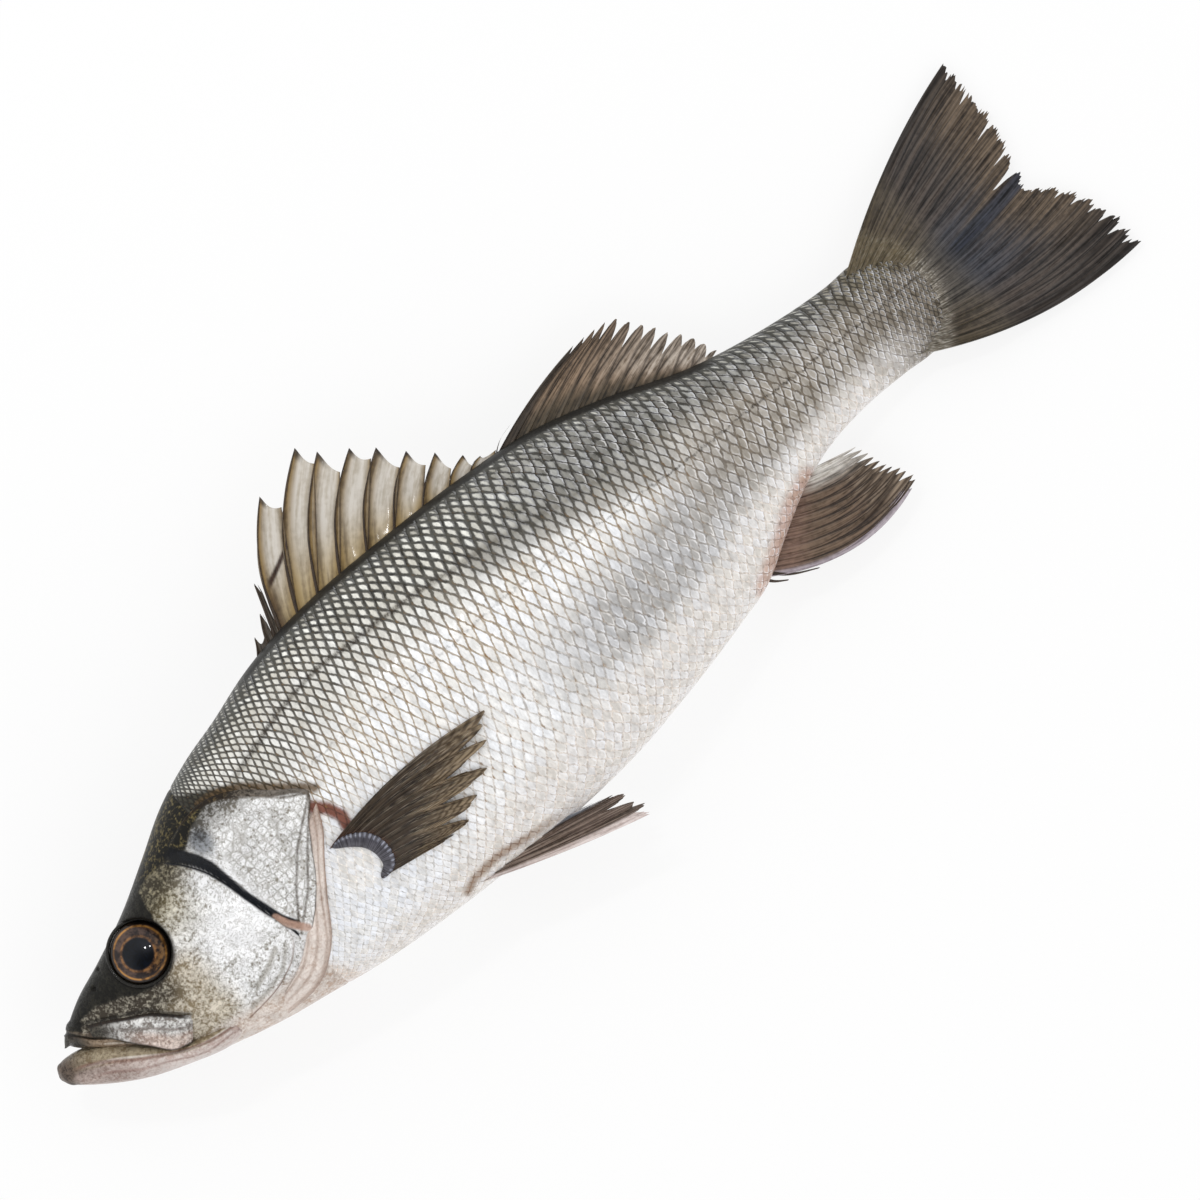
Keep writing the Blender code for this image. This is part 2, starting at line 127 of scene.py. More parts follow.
def curve(points):
    """A smooth line through (x, y) points, for whole arrays of x."""
    xs, ys = np.array(points, dtype=float).T
    slopes = np.gradient(ys, xs)

    def value(x):
        x = np.clip(x, xs[0], xs[-1])
        i = np.clip(np.searchsorted(xs, x) - 1, 0, len(xs) - 2)
        step = xs[i + 1] - xs[i]
        t = (x - xs[i]) / step
        start = ys[i] * (1 + 2 * t) + slopes[i] * step * t
        end = ys[i + 1] * (3 - 2 * t) + slopes[i + 1] * step * (t - 1)
        return start * (1 - t) ** 2 + end * t ** 2

    return value


def path(points):
    """A smooth path through (S, H) points, by the share of its length, for whole arrays."""
    line = np.array(points, dtype=float)
    reached = np.concatenate(([0], np.cumsum(np.hypot(*np.diff(line, axis=0).T))))
    reached = reached / reached[-1]
    along = curve(tuple(zip(reached, line[:, 0])))
    up = curve(tuple(zip(reached, line[:, 1])))
    return lambda u: (along(u), up(u))


def ramp(x, start, end):
    """Goes smoothly from 0 at start to 1 at end."""
    t = np.clip((x - start) / (end - start), 0, 1)
    return t * t * (3 - 2 * t)


def distance_to(points, s, h):
    """Distance from S, H to a line of points."""
    nearest = np.full(np.shape(s), 1e6)
    for (s0, h0), (s1, h1) in zip(points, points[1:]):
        ds, dh = s1 - s0, h1 - h0
        t = np.clip(((s - s0) * ds + (h - h0) * dh) / (ds * ds + dh * dh), 0, 1)
        nearest = np.minimum(nearest, np.hypot(s - s0 - t * ds, h - h0 - t * dh))
    return nearest


def linear(code):
    """An sRGB hex colour as linear red, green and blue."""
    values = np.array([int(code[k:k + 2], 16) for k in (0, 2, 4)]) / 255
    return np.where(values <= 0.04045, values / 12.92, ((values + 0.055) / 1.055) ** 2.4)


def over(under, code, share):
    """Lays a colour over an array of colours by an array of shares."""
    return under + (linear(code) - under) * np.asarray(share)[..., None]


def plain(count, *codes):
    """Arrays of count points in one colour each."""
    return [np.ones((count, 3)) * linear(code) for code in codes]


def lay(light, dark, light_code, dark_code, share, dark_share=None):
    """Lays two colours over the bright and the dark ones, by one share or by two."""
    return over(light, light_code, share), over(dark, dark_code, share if dark_share is None else dark_share)


def coats(light, dark, *laid):
    """Lays one coat after another, each as lay takes it."""
    for coat in laid:
        light, dark = lay(light, dark, *coat)
    return light, dark


back, belly, half_width = curve(BACK), curve(BELLY), curve(HALF_WIDTH)
widest, crown, middle = curve(WIDEST), curve(CROWN), curve(MIDDLE)
side_line = curve(SIDE_LINE)


def section(s, share):
    """Half thickness of the body, where share runs from -1 at the belly to 1 at the back."""
    power = np.where(share > 0, crown(s), KEEL)
    root = np.where(share > 0, 1 + crown(s) / 2, 2)
    return half_width(s) * np.clip(1 - np.abs(share) ** power, 0, 1) ** (1 / root)


def height_at(s, angle):
    """H of the skin at an angle round the section, from -90 degrees at the belly to 90 at the back."""
    wide = belly(s) + widest(s) * (back(s) - belly(s))
    share = np.sin(angle)
    return wide + share * np.where(share > 0, back(s) - wide, wide - belly(s))


def half_thickness(s, h):
    """Distance from the middle plane to the skin at S, H."""
    wide = belly(s) + widest(s) * (back(s) - belly(s))
    reach = np.where(h > wide, back(s) - wide, wide - belly(s))
    return section(s, np.clip((h - wide) / reach, -1, 1))


def floor_height(s, h):
    """Lowest height of the skin: zero, but for the hollow where the right breast fin is pressed in."""
    lengthwise = np.clip((212 - s) / 8, 0, 1) * np.clip((s - 118) / 8, 0, 1)
    return PRESSED_IN * lengthwise * np.clip((4 - h) / 6, 0, 1) * np.clip((h + 44) / 6, 0, 1)


def skin(s, angle, side, closing=1.0):
    """Points on the skin, flattened where the right side lies on the floor."""
    h = height_at(s, angle)
    z = middle(s) + side * closing * section(s, np.sin(angle))
    return np.stack((s, h, np.maximum(z, floor_height(s, h))), -1)


def outward(s, angle, side):
    """Unit normals of the skin."""
    step = 0.3
    along = skin(s + step, angle, side) - skin(s - step, angle, side)
    inner = np.clip(angle, -1.5, 1.5)
    around = skin(s, inner + 0.02, side) - skin(s, inner - 0.02, side)
    normal = np.cross(along, around)
    normal /= np.maximum(np.linalg.norm(normal, axis=-1, keepdims=True), 1e-9)
    return normal * np.reshape(side, (-1, 1))


def grid(columns, rows, doubled=False):
    """A bmesh grid of unit size with its corner at the origin; doubled gives it a second layer."""
    bm = bmesh.new()
    bmesh.ops.create_grid(bm, x_segments=columns, y_segments=rows, size=0.5)
    bmesh.ops.translate(bm, verts=bm.verts, vec=(0.5, 0.5, 0))
    if doubled:
        grown = bmesh.ops.extrude_face_region(bm, geom=bm.faces[:], use_keep_orig=True)["geom"]
        bmesh.ops.translate(bm, verts=[g for g in grown if isinstance(g, bmesh.types.BMVert)], vec=(0, 0, 1))
    return bm


def finish_piece(name, bm, shape, node, material, facing=0):
    """Moves a unit mesh into shape and makes it a piece of the fish.
    shape takes arrays of the unit coordinates and gives (S, H, Z) points and the point attributes.
    facing tells an open mesh which way it looks; a closed one looks outwards."""
    mesh = bpy.data.meshes.new(name)
    bm.to_mesh(mesh)
    bm.free()
    unit = np.zeros(len(mesh.vertices) * 3)
    mesh.vertices.foreach_get("co", unit)
    points, attributes = shape(*unit.reshape(-1, 3).T)
    mesh.vertices.foreach_set("co", place(*points.T).ravel())
    for label, values in attributes.items():
        layer = mesh.attributes.new(label, "FLOAT_VECTOR", "POINT")
        layer.data.foreach_set("vector", np.ascontiguousarray(values, dtype=np.float32).ravel())
    bm = bmesh.new()
    bm.from_mesh(mesh)
    bmesh.ops.remove_doubles(bm, verts=bm.verts, dist=2e-6)
    bmesh.ops.recalc_face_normals(bm, faces=bm.faces)
    looks = sum(f.normal.z * f.calc_area() for f in bm.faces) if facing else bm.calc_volume(signed=True)
    if looks * (facing or 1) < 0:
        bmesh.ops.reverse_faces(bm, faces=bm.faces)
    bm.to_mesh(mesh)
    bm.free()
    mesh.shade_smooth()
    mesh.materials.append(material)
    piece = bpy.data.objects.new(name, mesh)
    bpy.context.scene.collection.objects.link(piece)
    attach(piece, "root")
    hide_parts(node)
    return piece


def add(tree, kind, *values, output=0, **named):
    """Adds a node and returns one of its outputs. The values feed its inputs in their order and so do
    names with a capital, where _ stands for a space; the other names are its settings."""
    made = tree.nodes.new("ShaderNode" + kind)
    for name in [n for n in named if n.islower()]:
        setattr(made, name, named.pop(name))
    used = [socket for socket in made.inputs if socket.enabled]
    by_name = [(next(s for s in used if s.name == n.replace("_", " ")), v) for n, v in named.items()]
    for socket, value in [*zip(used, values), *by_name]:
        if isinstance(value, bpy.types.NodeSocket):
            tree.links.new(value, socket)
        else:
            socket.default_value = value
    return [socket for socket in made.outputs if socket.enabled][output]


def new_material(name, roughness, coat, coat_roughness, reads=("light", "dark", "kind")):
    """A node material for wet skin under a film of clear slime, its tree, the inputs of its Principled
    shader and the attributes of the piece that it reads."""
    material = bpy.data.materials.new(name)
    material.use_nodes = True
    shader = material.node_tree.nodes["Principled BSDF"]
    shader.inputs["Roughness"].default_value = roughness
    shader.inputs["IOR"].default_value = 1.4
    shader.inputs["Coat Weight"].default_value = coat
    shader.inputs["Coat Roughness"].default_value = coat_roughness
    shader.inputs["Coat IOR"].default_value = 1.34
    read = [add(material.node_tree, "Attribute", attribute_name=label, output=1) for label in reads]
    return material, material.node_tree, shader.inputs, read


def scale_skin():
    """Silver scales. Cells are counted in slanting columns and rows from the head; each has its own
    shade, partly painted sparkle, a darker line round it, a brown freckle at its front corner and a
    broken painted glint, a white highlight, on its rim.
    Noise scales count the features in a metre: 1100 is a grain of 0.9 mm and 330 a waver of 3 mm."""
    material, tree, sockets, read = new_material("silver_fish_scales", 0.3, 0.25, 0.08,
                                                 ("cell", "light", "dark", "painted_glint_freckle_contrast", "lines"))
    cell, light, dark, painted_glint_freckle_contrast, lines = read
    painted_glint_freckle_contrast, lines = (add(tree, "SeparateXYZ", value).node.outputs for value in (painted_glint_freckle_contrast, lines))
    here = add(tree, "TexCoord", output=3)
    waver = add(tree, "TexNoise", here, Scale=330, Detail=2, output=1)
    waver = add(tree, "VectorMath", waver, (0.5, 0.5, 0.5), operation="SUBTRACT")
    irregular = add(tree, "Math", painted_glint_freckle_contrast[0], 0.5, 0.2, operation="MULTIPLY_ADD")
    irregular = add(tree, "CombineXYZ", irregular, irregular)
    bent = add(tree, "VectorMath", waver, irregular, operation="MULTIPLY")
    cell = add(tree, "VectorMath", cell, bent, operation="ADD")
    parts = add(tree, "SeparateXYZ", cell).node.outputs
    inner = add(tree, "VectorMath", cell, operation="FRACTION")
    local = add(tree, "SeparateXYZ", inner).node.outputs
    number = add(tree, "VectorMath", cell, operation="FLOOR")
    number = add(tree, "VectorMath", number, (1, 1, 0), operation="MULTIPLY")
    draw = add(tree, "TexWhiteNoise", number, noise_dimensions="3D")
    streaks = add(tree, "VectorMath", here, (1.0, 0.45, 0.6), operation="MULTIPLY")
    grain = add(tree, "TexNoise", streaks, Scale=1100, Detail=4, Roughness=0.65)
    smudge = add(tree, "TexNoise", streaks, Scale=420, Detail=3)

    across = add(tree, "Math", parts[0], 0.5, operation="PINGPONG")
    along = add(tree, "Math", parts[1], 0.5, operation="PINGPONG")
    ahead = add(tree, "Math", local[0], local[1], operation="ADD")
    upward = add(tree, "Math", local[0], local[1], operation="SUBTRACT")
    blunt = add(tree, "Math", ahead, 1.0, operation="PINGPONG")
    blunt = add(tree, "Math", blunt, 0.36, operation="MULTIPLY")
    inside = add(tree, "Math", across, along, 0.06, operation="SMOOTH_MIN")
    inside = add(tree, "Math", inside, blunt, 0.1, operation="SMOOTH_MIN")
    rough_edge = add(tree, "Math", grain, 0.16, -0.08, operation="MULTIPLY_ADD")
    inside = add(tree, "Math", inside, rough_edge, operation="ADD")
    rim_start = add(tree, "Math", parts[2], 0.65, operation="MULTIPLY")
    rim_end = add(tree, "Math", parts[2], 1.3, operation="MULTIPLY")
    rim = add(tree, "MapRange", inside, rim_start, rim_end, 1.0, 0.0, interpolation_type="SMOOTHSTEP")

    weak = add(tree, "MapRange", smudge, 0.38, 0.6, 0.9, 1.0)
    rim = add(tree, "Math", rim, weak, operation="MULTIPLY")

    # Each cell's own brightness, drawn at random: partly the scale's own tone, partly painted sparkle standing
    # in for the light each scale mirrors
    shade = add(tree, "Math", draw, painted_glint_freckle_contrast[2], operation="MULTIPLY")
    shade = add(tree, "Math", 1.0, shade, operation="SUBTRACT")
    for pattern, least in ((smudge, 0.84), (grain, 0.86)):
        pattern = add(tree, "MapRange", pattern, 0.3, 0.7, least, 1.1)
        shade = add(tree, "Math", shade, pattern, operation="MULTIPLY")
    cell_colour = add(tree, "VectorMath", light, Scale=shade, operation="SCALE")
    fine_dark = add(tree, "MapRange", grain, 0.3, 0.7, 0.6, 1.5)
    dark = add(tree, "VectorMath", dark, Scale=fine_dark, operation="SCALE")
    colour = add(tree, "Mix", rim, cell_colour, dark, data_type="RGBA")

    corner = add(tree, "CombineXYZ", ahead, upward)
    corner = add(tree, "VectorMath", corner, operation="LENGTH")
    spot = add(tree, "Math", grain, 0.9, corner, operation="MULTIPLY_ADD")
    spot = add(tree, "MapRange", spot, 0.55, 0.95, 1.0, 0.0, interpolation_type="SMOOTHSTEP")
    chosen = add(tree, "Math", draw, painted_glint_freckle_contrast[1], operation="MULTIPLY")
    spot = add(tree, "Math", spot, chosen, operation="MULTIPLY")
    colour = add(tree, "Mix", spot, colour, (*linear(GOLD_BROWN), 1), data_type="RGBA")

    # Painted glint: a broken white highlight along each scale's rim, strongest on the lower side
    ring = add(tree, "Math", inside, 0.13, operation="SUBTRACT")
    ring = add(tree, "Math", ring, operation="ABSOLUTE")
    ring = add(tree, "MapRange", ring, 0.03, 0.1, 1.0, 0.0, interpolation_type="SMOOTHSTEP")
    lower = add(tree, "MapRange", local[1], 0.15, 0.75, 0.25, 1.0)
    broken = add(tree, "MapRange", smudge, 0.36, 0.62, interpolation_type="SMOOTHSTEP")
    for share in (lower, broken, painted_glint_freckle_contrast[0]):
        ring = add(tree, "Math", ring, share, operation="MULTIPLY")
    colour = add(tree, "Mix", ring, colour, (*linear("FAFAFC"), 1), data_type="RGBA")

    for distance, start, end in ((lines[0], 0.1, 0.8), (lines[1], 0.3, 1.5)):
        wavy = add(tree, "Math", smudge, 4.0, distance, operation="MULTIPLY_ADD")
        stripe = add(tree, "Math", add(tree, "Math", wavy, 2.0, operation="SUBTRACT"), operation="ABSOLUTE")
        stripe = add(tree, "MapRange", stripe, start, end, 1.0, 0.0, interpolation_type="SMOOTHSTEP")
        dashes = add(tree, "MapRange", grain, 0.38, 0.6, 1.0, 0.25)
        for share in (dashes, lines[2]):
            stripe = add(tree, "Math", stripe, share, operation="MULTIPLY")
        colour = add(tree, "Mix", stripe, colour, (*linear("332C24"), 1), data_type="RGBA")

    hue = add(tree, "VectorMath", draw, (0.05, 0.015, -0.05), (0.975, 0.99, 1.02), operation="MULTIPLY_ADD")
    colour = add(tree, "VectorMath", colour, hue, operation="MULTIPLY")
    rough = add(tree, "MapRange", rim, 0.0, 1.0, 0.26, 0.5)
    wet = add(tree, "MapRange", rim, 0.0, 1.0, 0.3, 0.05)
    height = add(tree, "Math", rim, -1.0, grain, operation="MULTIPLY_ADD")
    bump = add(tree, "Bump", Strength=0.5, Distance=0.0002, Height=height)
    for name, value in (("Base Color", colour), ("Roughness", rough), ("Coat Weight", wet), ("Normal", bump)):
        tree.links.new(value, sockets[name])
    sockets["Specular IOR Level"].default_value = 0.25
    return material


def flank_colours(s, h):
    """Colour of the cells and of their lines, width of the lines, and shares of painted glint, freckle and
    contrast (partly painted sparkle), over the flank."""
    light, dark = plain(len(s), SILVER_CELL, SILVER_LINE)
    numbers = np.ones((len(s), 1)) * (0.085, 0.3, 1.0, 0.12)
    dark = over(dark, PALE_LINE, ramp(h, 8, -16))
    upper_edge = curve(((88, 18), (145, 24), (170, 29), (190, 29), (218, 27), (255, 23), (298, 16), (345, 9),
                        (BODY_END, 5)))(s)
    back_edge = curve(((88, 38), (120, 41), (145, 46), (171, 47), (190, 42), (218, 36), (255, 26),
                       (291, 21.5), (320, 18), (345, 12.5), (364, 9.5), (400, 7), (BODY_END, 4)))(s)
    belly_edge = curve(((88, -45), (145, -46), (211, -38), (255, -36), (298, -31), (320, -23), (342, -20),
                        (364, -16.5), (385, -14.5), (BODY_END, -12)))(s)
    upper = ramp(h, upper_edge - 14, upper_edge + 8)
    upper_back = ramp(h, back_edge - 5, back_edge + 9)
    rear_back = upper_back * ramp(s, 225, 290)
    ridge = ramp(back(s) - h, 9, 2.5)
    bare = ramp(back(s) - h, 3.2, 2.2) * ramp(s, 140, 150) * ramp(s, 352, 344)
    # Painted reflection: a grey-blue slate band on the lower flank, where the silver scales would mirror a
    # darker room
    slate = ramp(distance_to(((228, -20), (275, -18), (330, -9)), s, h), 26, 5) * ramp(s, 205, 268) * 0.8
    tan = ramp(s, 285, 345) * ramp(h, -26, -6)
    cream = ramp(h, belly_edge + 9, belly_edge - 5)
    chest = ramp(s, 175, 140) * ramp(h, 8, -10)
    tail = ramp(s, 378, 424)
    nape = ramp(s - 115.6 + (h - 34) * 1.65, 2.5, -2.5) * ramp(h, 29, 33)
    # Each zone sets the line width, the share of painted glint, the share of freckle and the per-cell contrast,
    # which is partly painted sparkle
    for share, cell_code, line_code, settings in (
            (upper, UPPER_CELL, UPPER_DARK, (0.15, 0.2, 0.5, 0.3)),
            (upper_back, BACK_CELL, BACK_DARK, (0.21, 0.1, 0.2, 0.4)),
            (slate, REFLECTED_SLATE_CELL, REFLECTED_SLATE_LINE, (0.12, 0.8, 0.4, 0.3)),
            (tan, TAN_CELL, TAN_LINE, (0.13, 0.6, 0.2, 0.3)),
            (rear_back, REAR_BACK_CELL, REAR_BACK_DARK, (0.19, 0.6, 0.2, 0.6)),
            (ridge, RIDGE_CELL, RIDGE_DARK, (0.31, 0.2, 0.0, 0.5)),
            (chest, CHEST_CELL, CHEST_LINE, (0.1, 0.8, 0.1, 0.15)),
            (cream, BELLY_CELL, BELLY_LINE, (0.1, 0.8, 0.05, 0.14)),
            (tail, TAIL_CELL, TAIL_LINE, (0.16, 0.6, 0.1, 0.5)),
            (nape, NAPE_CELL, NAPE_LINE, (0.2, 0.0, 0.5, 0.5)),
            (bare, "2E2D29", "1E1D1A", (0.7, 0.0, 0.0, 0.1))):
        light, dark = lay(light, dark, cell_code, line_code, share)
        numbers += (np.array(settings) - numbers) * share[:, None]
    dull = ramp(distance_to(((238, 31), (262, 27), (285, 20), (310, 14)), s, h), 9, 3) * 0.6
    light, dark = lay(light, dark, "9A9791", "45423B", dull)
    tail_top = tail * ramp(h, 2, 12)
    light, dark = lay(light, dark, "6F6342", "2C2718", tail_top * 0.8)
    upper_line = ramp(distance_to(UPPER_LINE, s, h), 1.9, 0.4)
    light, dark = lay(light, dark, "8F8A7E", "2E2B25", upper_line * 0.6, upper_line * 0.8)
    # Golden-brown strip on the flank behind the upper edge of the gill cover: partly the skin's own colour,
    # partly painted shadow of the cover's edge
    gill_fold_and_shadow = distance_to(((104, 35.5), (112, 34), (120, 29.5), (128, 22), (136, 15), (139, 11.5)), s, h)
    gill_fold_and_shadow = ramp(gill_fold_and_shadow, 2.6, 0.8)
    light, dark = lay(light, dark, "6A5232", "33260F", gill_fold_and_shadow * 0.9)
    fin_root = ramp(distance_to(((133, 8), (137.5, 3), (139.5, -2), (138.5, -6)), s, h), 3.4, 1.4)
    light, dark = lay(light, dark, "7A4029", "552B1C", fin_root * 0.95)
    throat = ramp(s + 0.5 * (h + 44), 106, 99) * ramp(h, -26, -32)
    light, dark = lay(light, dark, "E4DAD2", "C9B8AC", throat)
    pads = ramp(np.hypot(s - 131, (h + 19) * 0.8), 9, 5)
    light, dark = lay(light, dark, "F2F1F0", "E4E0DC", pads)
    belly_fold = distance_to(((153, -53.4), (158, -51.4), (170, -51), (186, -54), (207, -57.4)), s, h)
    belly_fold = ramp(belly_fold, 2.8, 0.4) * ramp(s, 212, 175)
    light, dark = lay(light, dark, "8E7054", "775940", belly_fold * 0.75, belly_fold * 0.9)
    vent = ramp(distance_to(((305, -46.5), (320, -39), (335, -30.5), (346, -27)), s, h), 5.5, 1.2)
    vent = vent * ramp(s, 300, 306)
    light, dark = lay(light, dark, FLESH, "8E6552", vent * 0.75)
    fold_share = np.clip(gill_fold_and_shadow + fin_root + pads + belly_fold, 0, 1)
    numbers[:, 1] *= 1 - fold_share
    return light, dark, numbers


def scale_relief(i, j):
    """Height of the scales above the skin: each rises towards its rear corner and ends in a step."""
    first = np.mod(i + j, SCALE_STEPS) / SCALE_STEPS
    second = np.mod(i - j, SCALE_STEPS) / SCALE_STEPS
    return SCALE_RISE * (0.25 + 0.75 * np.maximum(first, second)) * (1 - 0.25 * np.abs(first - second))


column_pitch, row_pitch = curve(COLUMN_PITCH), curve(ROW_PITCH)
fine_s = np.linspace(FLANK_START, BODY_END, 2000)
fine_count = np.concatenate(([0], np.cumsum(np.diff(fine_s) / column_pitch(fine_s[1:]))))
flank_columns = int(fine_count[-1] * SCALE_STEPS)
column_s = np.interp(np.arange(flank_columns + 1) / SCALE_STEPS, fine_count, fine_s)
column_s[-1] = BODY_END
angles = np.linspace(-math.pi / 2, math.pi / 2, 181)
flank_angle, rows_up, rows_down = [], 0, 0
girths = []
for s in column_s:
    ring = skin(np.full(len(angles), s), angles, 1)
    girth = np.concatenate(([0], np.cumsum(np.linalg.norm(np.diff(ring, axis=0), axis=1))))
    line_at = np.interp(side_line(s), ring[:, 1], girth)
    girths.append((girth, line_at))
    pitch = row_pitch(s)
    rows_up = max(rows_up, ROWS_CLOSE_UP / pitch * (math.exp((girth[-1] - line_at) / ROWS_CLOSE_UP) - 1))
    rows_down = max(rows_down, ROWS_CLOSE_DOWN / pitch * (math.exp(line_at / ROWS_CLOSE_DOWN) - 1))
low_row = -int(rows_down * SCALE_STEPS / 2) - 1
high_row = int(rows_up * SCALE_STEPS / 2) + 1
row_numbers = np.arange(low_row, high_row + 1) / (SCALE_STEPS / 2)
flank_angle = np.zeros((flank_columns + 1, len(row_numbers)))
for k, (s, (girth, line_at)) in enumerate(zip(column_s, girths)):
    pitch = row_pitch(s)
    up = -ROWS_CLOSE_UP * np.log(1 / (1 + np.maximum(row_numbers, 0) * pitch / ROWS_CLOSE_UP))
    down = ROWS_CLOSE_DOWN * np.log(1 + np.maximum(-row_numbers, 0) * pitch / ROWS_CLOSE_DOWN)
    flank_angle[k] = np.interp(line_at + up - down, girth, angles)

skin_material = scale_skin()


def flank(side):
    """Shape of one flank, from the unit grid."""

    def shape(u, v, _):
        i = np.round(u * flank_columns).astype(int)
        j = np.round(v * (high_row - low_row)).astype(int)
        angle = flank_angle[i, j]
        row = j + low_row
        above = np.maximum(angle, 0) * LEAN_REACH
        s = column_s[i]
        s = s - COLUMN_LEAN * above ** 2 * ramp(s, FLANK_START, FLANK_START + 40) * ramp(s, BODY_END, 380)
        closing = np.where(i == flank_columns, 0.0, 1.0)
        points = skin(s, angle, side, closing)
        h = points[:, 1]
        edge = np.minimum(back(s) - h, h - belly(s))
        deep = ramp(edge, 0, 3) * ramp(s, FLANK_START, 104) * ramp(s, BODY_END, 426)
        deep = deep * (1 - 0.35 * ramp(back(s) - h, 20, 5)) * (1 - 0.5 * ramp(s, 380, 415))
        bare = ramp(back(s) - h, 3.6, 2.4) * ramp(s, 140, 150) * ramp(s, 352, 344)
        lift = deep * (1 - bare) * scale_relief(i, row) - ramp(s, *UNDER_HEAD)
        points = points + outward(s, angle, side) * lift[:, None]
        points[:, 2] = np.maximum(points[:, 2], 0.0)
        light, dark, numbers = flank_colours(s, h)
        cells = np.stack(((i + row) / SCALE_STEPS, (i - row) / SCALE_STEPS, numbers[:, 0]), -1)
        strength = np.where(h > side_line(s) + 8, 0.85, 0.35 + 0.55 * ramp(s, 240, 330)) * ramp(s, 118, 135)
        upper = np.where(s < 285, h - curve(UPPER_LINE)(s), 50)
        strength = strength * np.where(h > side_line(s) + 8, ramp(s, 252, 205), 1)
        lines = np.stack((h - side_line(s), upper, strength), -1)
        return points, {"cell": cells, "light": light, "dark": dark, "painted_glint_freckle_contrast": numbers[:, 1:], "lines": lines}

    return shape


for side_name, side in (("left", 1), ("right", -1)):
    finish_piece("flank_" + side_name, grid(flank_columns, high_row - low_row), flank(side), "fish",
                 skin_material, facing=side)

# Head
# Skin drawn tight over the skull: almost black olive on top, silver over the cheeks and cream under
# the throat. It carries on from the flanks, with a hollow for each eye and two nostrils a side.
EYE_S = 51.2
EYE_H = 11.0
EYE_RADIUS = 11.3
EYE_HALF_DEPTH = 5.0
EYE_OUT = 14.4
EYE_LEAN = math.tan(math.radians(15))
EYE_RIM = 0.8
SOCKET_DEPTH = 3.5
LIP_GROOVE_DEPTH = 0.6
NOSTRIL_DEPTH = 1.2
NOSTRILS = ((29.3, 12.8, 1.3), (35, 17, 0.8))
HEAD_COLUMNS = 150
HEAD_ROWS = 300
HEAD_END = 101
TUCKED_IN = 0.6
CAP_EDGE = ((6.2, 2), (11.6, 2), (15.5, 3.5), (17.5, 7.3), (25.5, 7.3), (30.9, 5.1), (36.4, 2.9), (40, 0),
            (45.5, -1.5), (50.9, -1.8), (56.4, -0.7), (60.4, 2.9), (62.5, 7.3), (63.4, 14.5), (64.4, 21.8), (66,
                    27.3),
            (72.7, 29.1), (81.8, 29.1), (85.8, 28.4), (89.1, 26.5), (95.3, 31), (105.5, 34), (112.7, 31.3))
LIP_GROOVE = ((9.5, 8.6), (13, 4), (16.4, -0.2), (22.2, -5.1), (27.1, -12), (32, -17.8), (34.9, -22.2))
SNOUT_GROOVE = ((14, 9), (16.7, 6.5), (25.1, 1.8), (32, -2.2), (38.9, -6.1), (43.8, -12), (49.7, -17.8))
CHEEK_GROOVE = ((80, 29.2), (82.9, 28.4), (86.5, 25.5), (89.5, 21.1), (91.6, 16.4), (93.1, 9.1), (94.5, 0),
                (96.4, -7.3), (98.2, -14.5), (101.1, -20))


def head_colours(s, h):
    """Bright and dark colour of the mottled skin, and how dark, how netted and how plain it is."""
    cap_edge = np.interp(s, *np.array(CAP_EDGE).T)
    cap = ramp(h - cap_edge, -0.8, 0.9)
    light, dark = plain(len(s), "FEFEFF", "8A8479")
    share = np.full(len(s), 0.3)
    bright = ramp(np.hypot((s - 86) * 0.8, h + 4), 15, 5)
    share -= 0.22 * bright
    gold = ramp(h, -4, 20) * ramp(s, 58, 64) * ramp(s, 86, 70)
    rear_gold = ramp(h - 0.25 * (s - 66), 11, 23) * ramp(s, 61, 64) * ramp(s, 92, 84)
    tan = ramp(s, 72, 60) * ramp(h, 5, -3) * ramp(h, -34, -26)
    snout = ramp(s, 60, 48) * ramp(h, -16, -6)
    throat = ramp(h + 31 + 0.12 * (s - 70), 3, -3)
    cover_top = ramp(h, 20, 33) * ramp(s, 86, 92)
    for amount, bright_code, dark_code, dark_share in (
            (gold, "DAD3BF", "645838", 0.42), (rear_gold, "A0977C", "332D20", 0.55),
            (tan, "DDD4C4", "82745C", 0.42), (snout, "B4AD9C", "342D24", 0.55),
            (throat, "E4DAD2", "B79F8E", 0.35), (cover_top, "BDBCBA", "45423C", 0.55)):
        light, dark = lay(light, dark, bright_code, dark_code, amount)
        share += (dark_share - share) * amount
    slate = ramp(np.hypot(s - 95.5, (h - 25) * 0.8), 6.5, 2) * 0.7
    light, dark = lay(light, dark, "5A6470", "1F2732", slate)
    brass = ramp(h, 26.5, 30) * ramp(s, 66, 76)
    light = over(light, "29271F", cap)
    light = over(light, "7D7048", cap * brass)
    dark = over(dark, "12110D", cap)
    share += ((0.5 + 0.1 * brass) - share) * cap
    netted = (ramp(s, 94, 101) * (1 - 0.3 * ramp(h, 10, 30)) + 0.55 * gold) * (1 - throat) * (1 - cap)
    groove = ramp(distance_to(CHEEK_GROOVE, s, h) - 1.1 * ramp(h, 2, 24), 1.9, 1.1) * ramp(s, 79, 83)
    light, dark = lay(light, dark, "15181E", "08090C", groove)
    netted = netted * (1 - groove)
    return light, dark, np.stack((share, netted, cap), -1)


def mottle(s, share):
    """The kind of skin that is dark by this share, with no net and no cap."""
    return np.stack((share + 0 * s, 0 * s, 0 * s), -1)


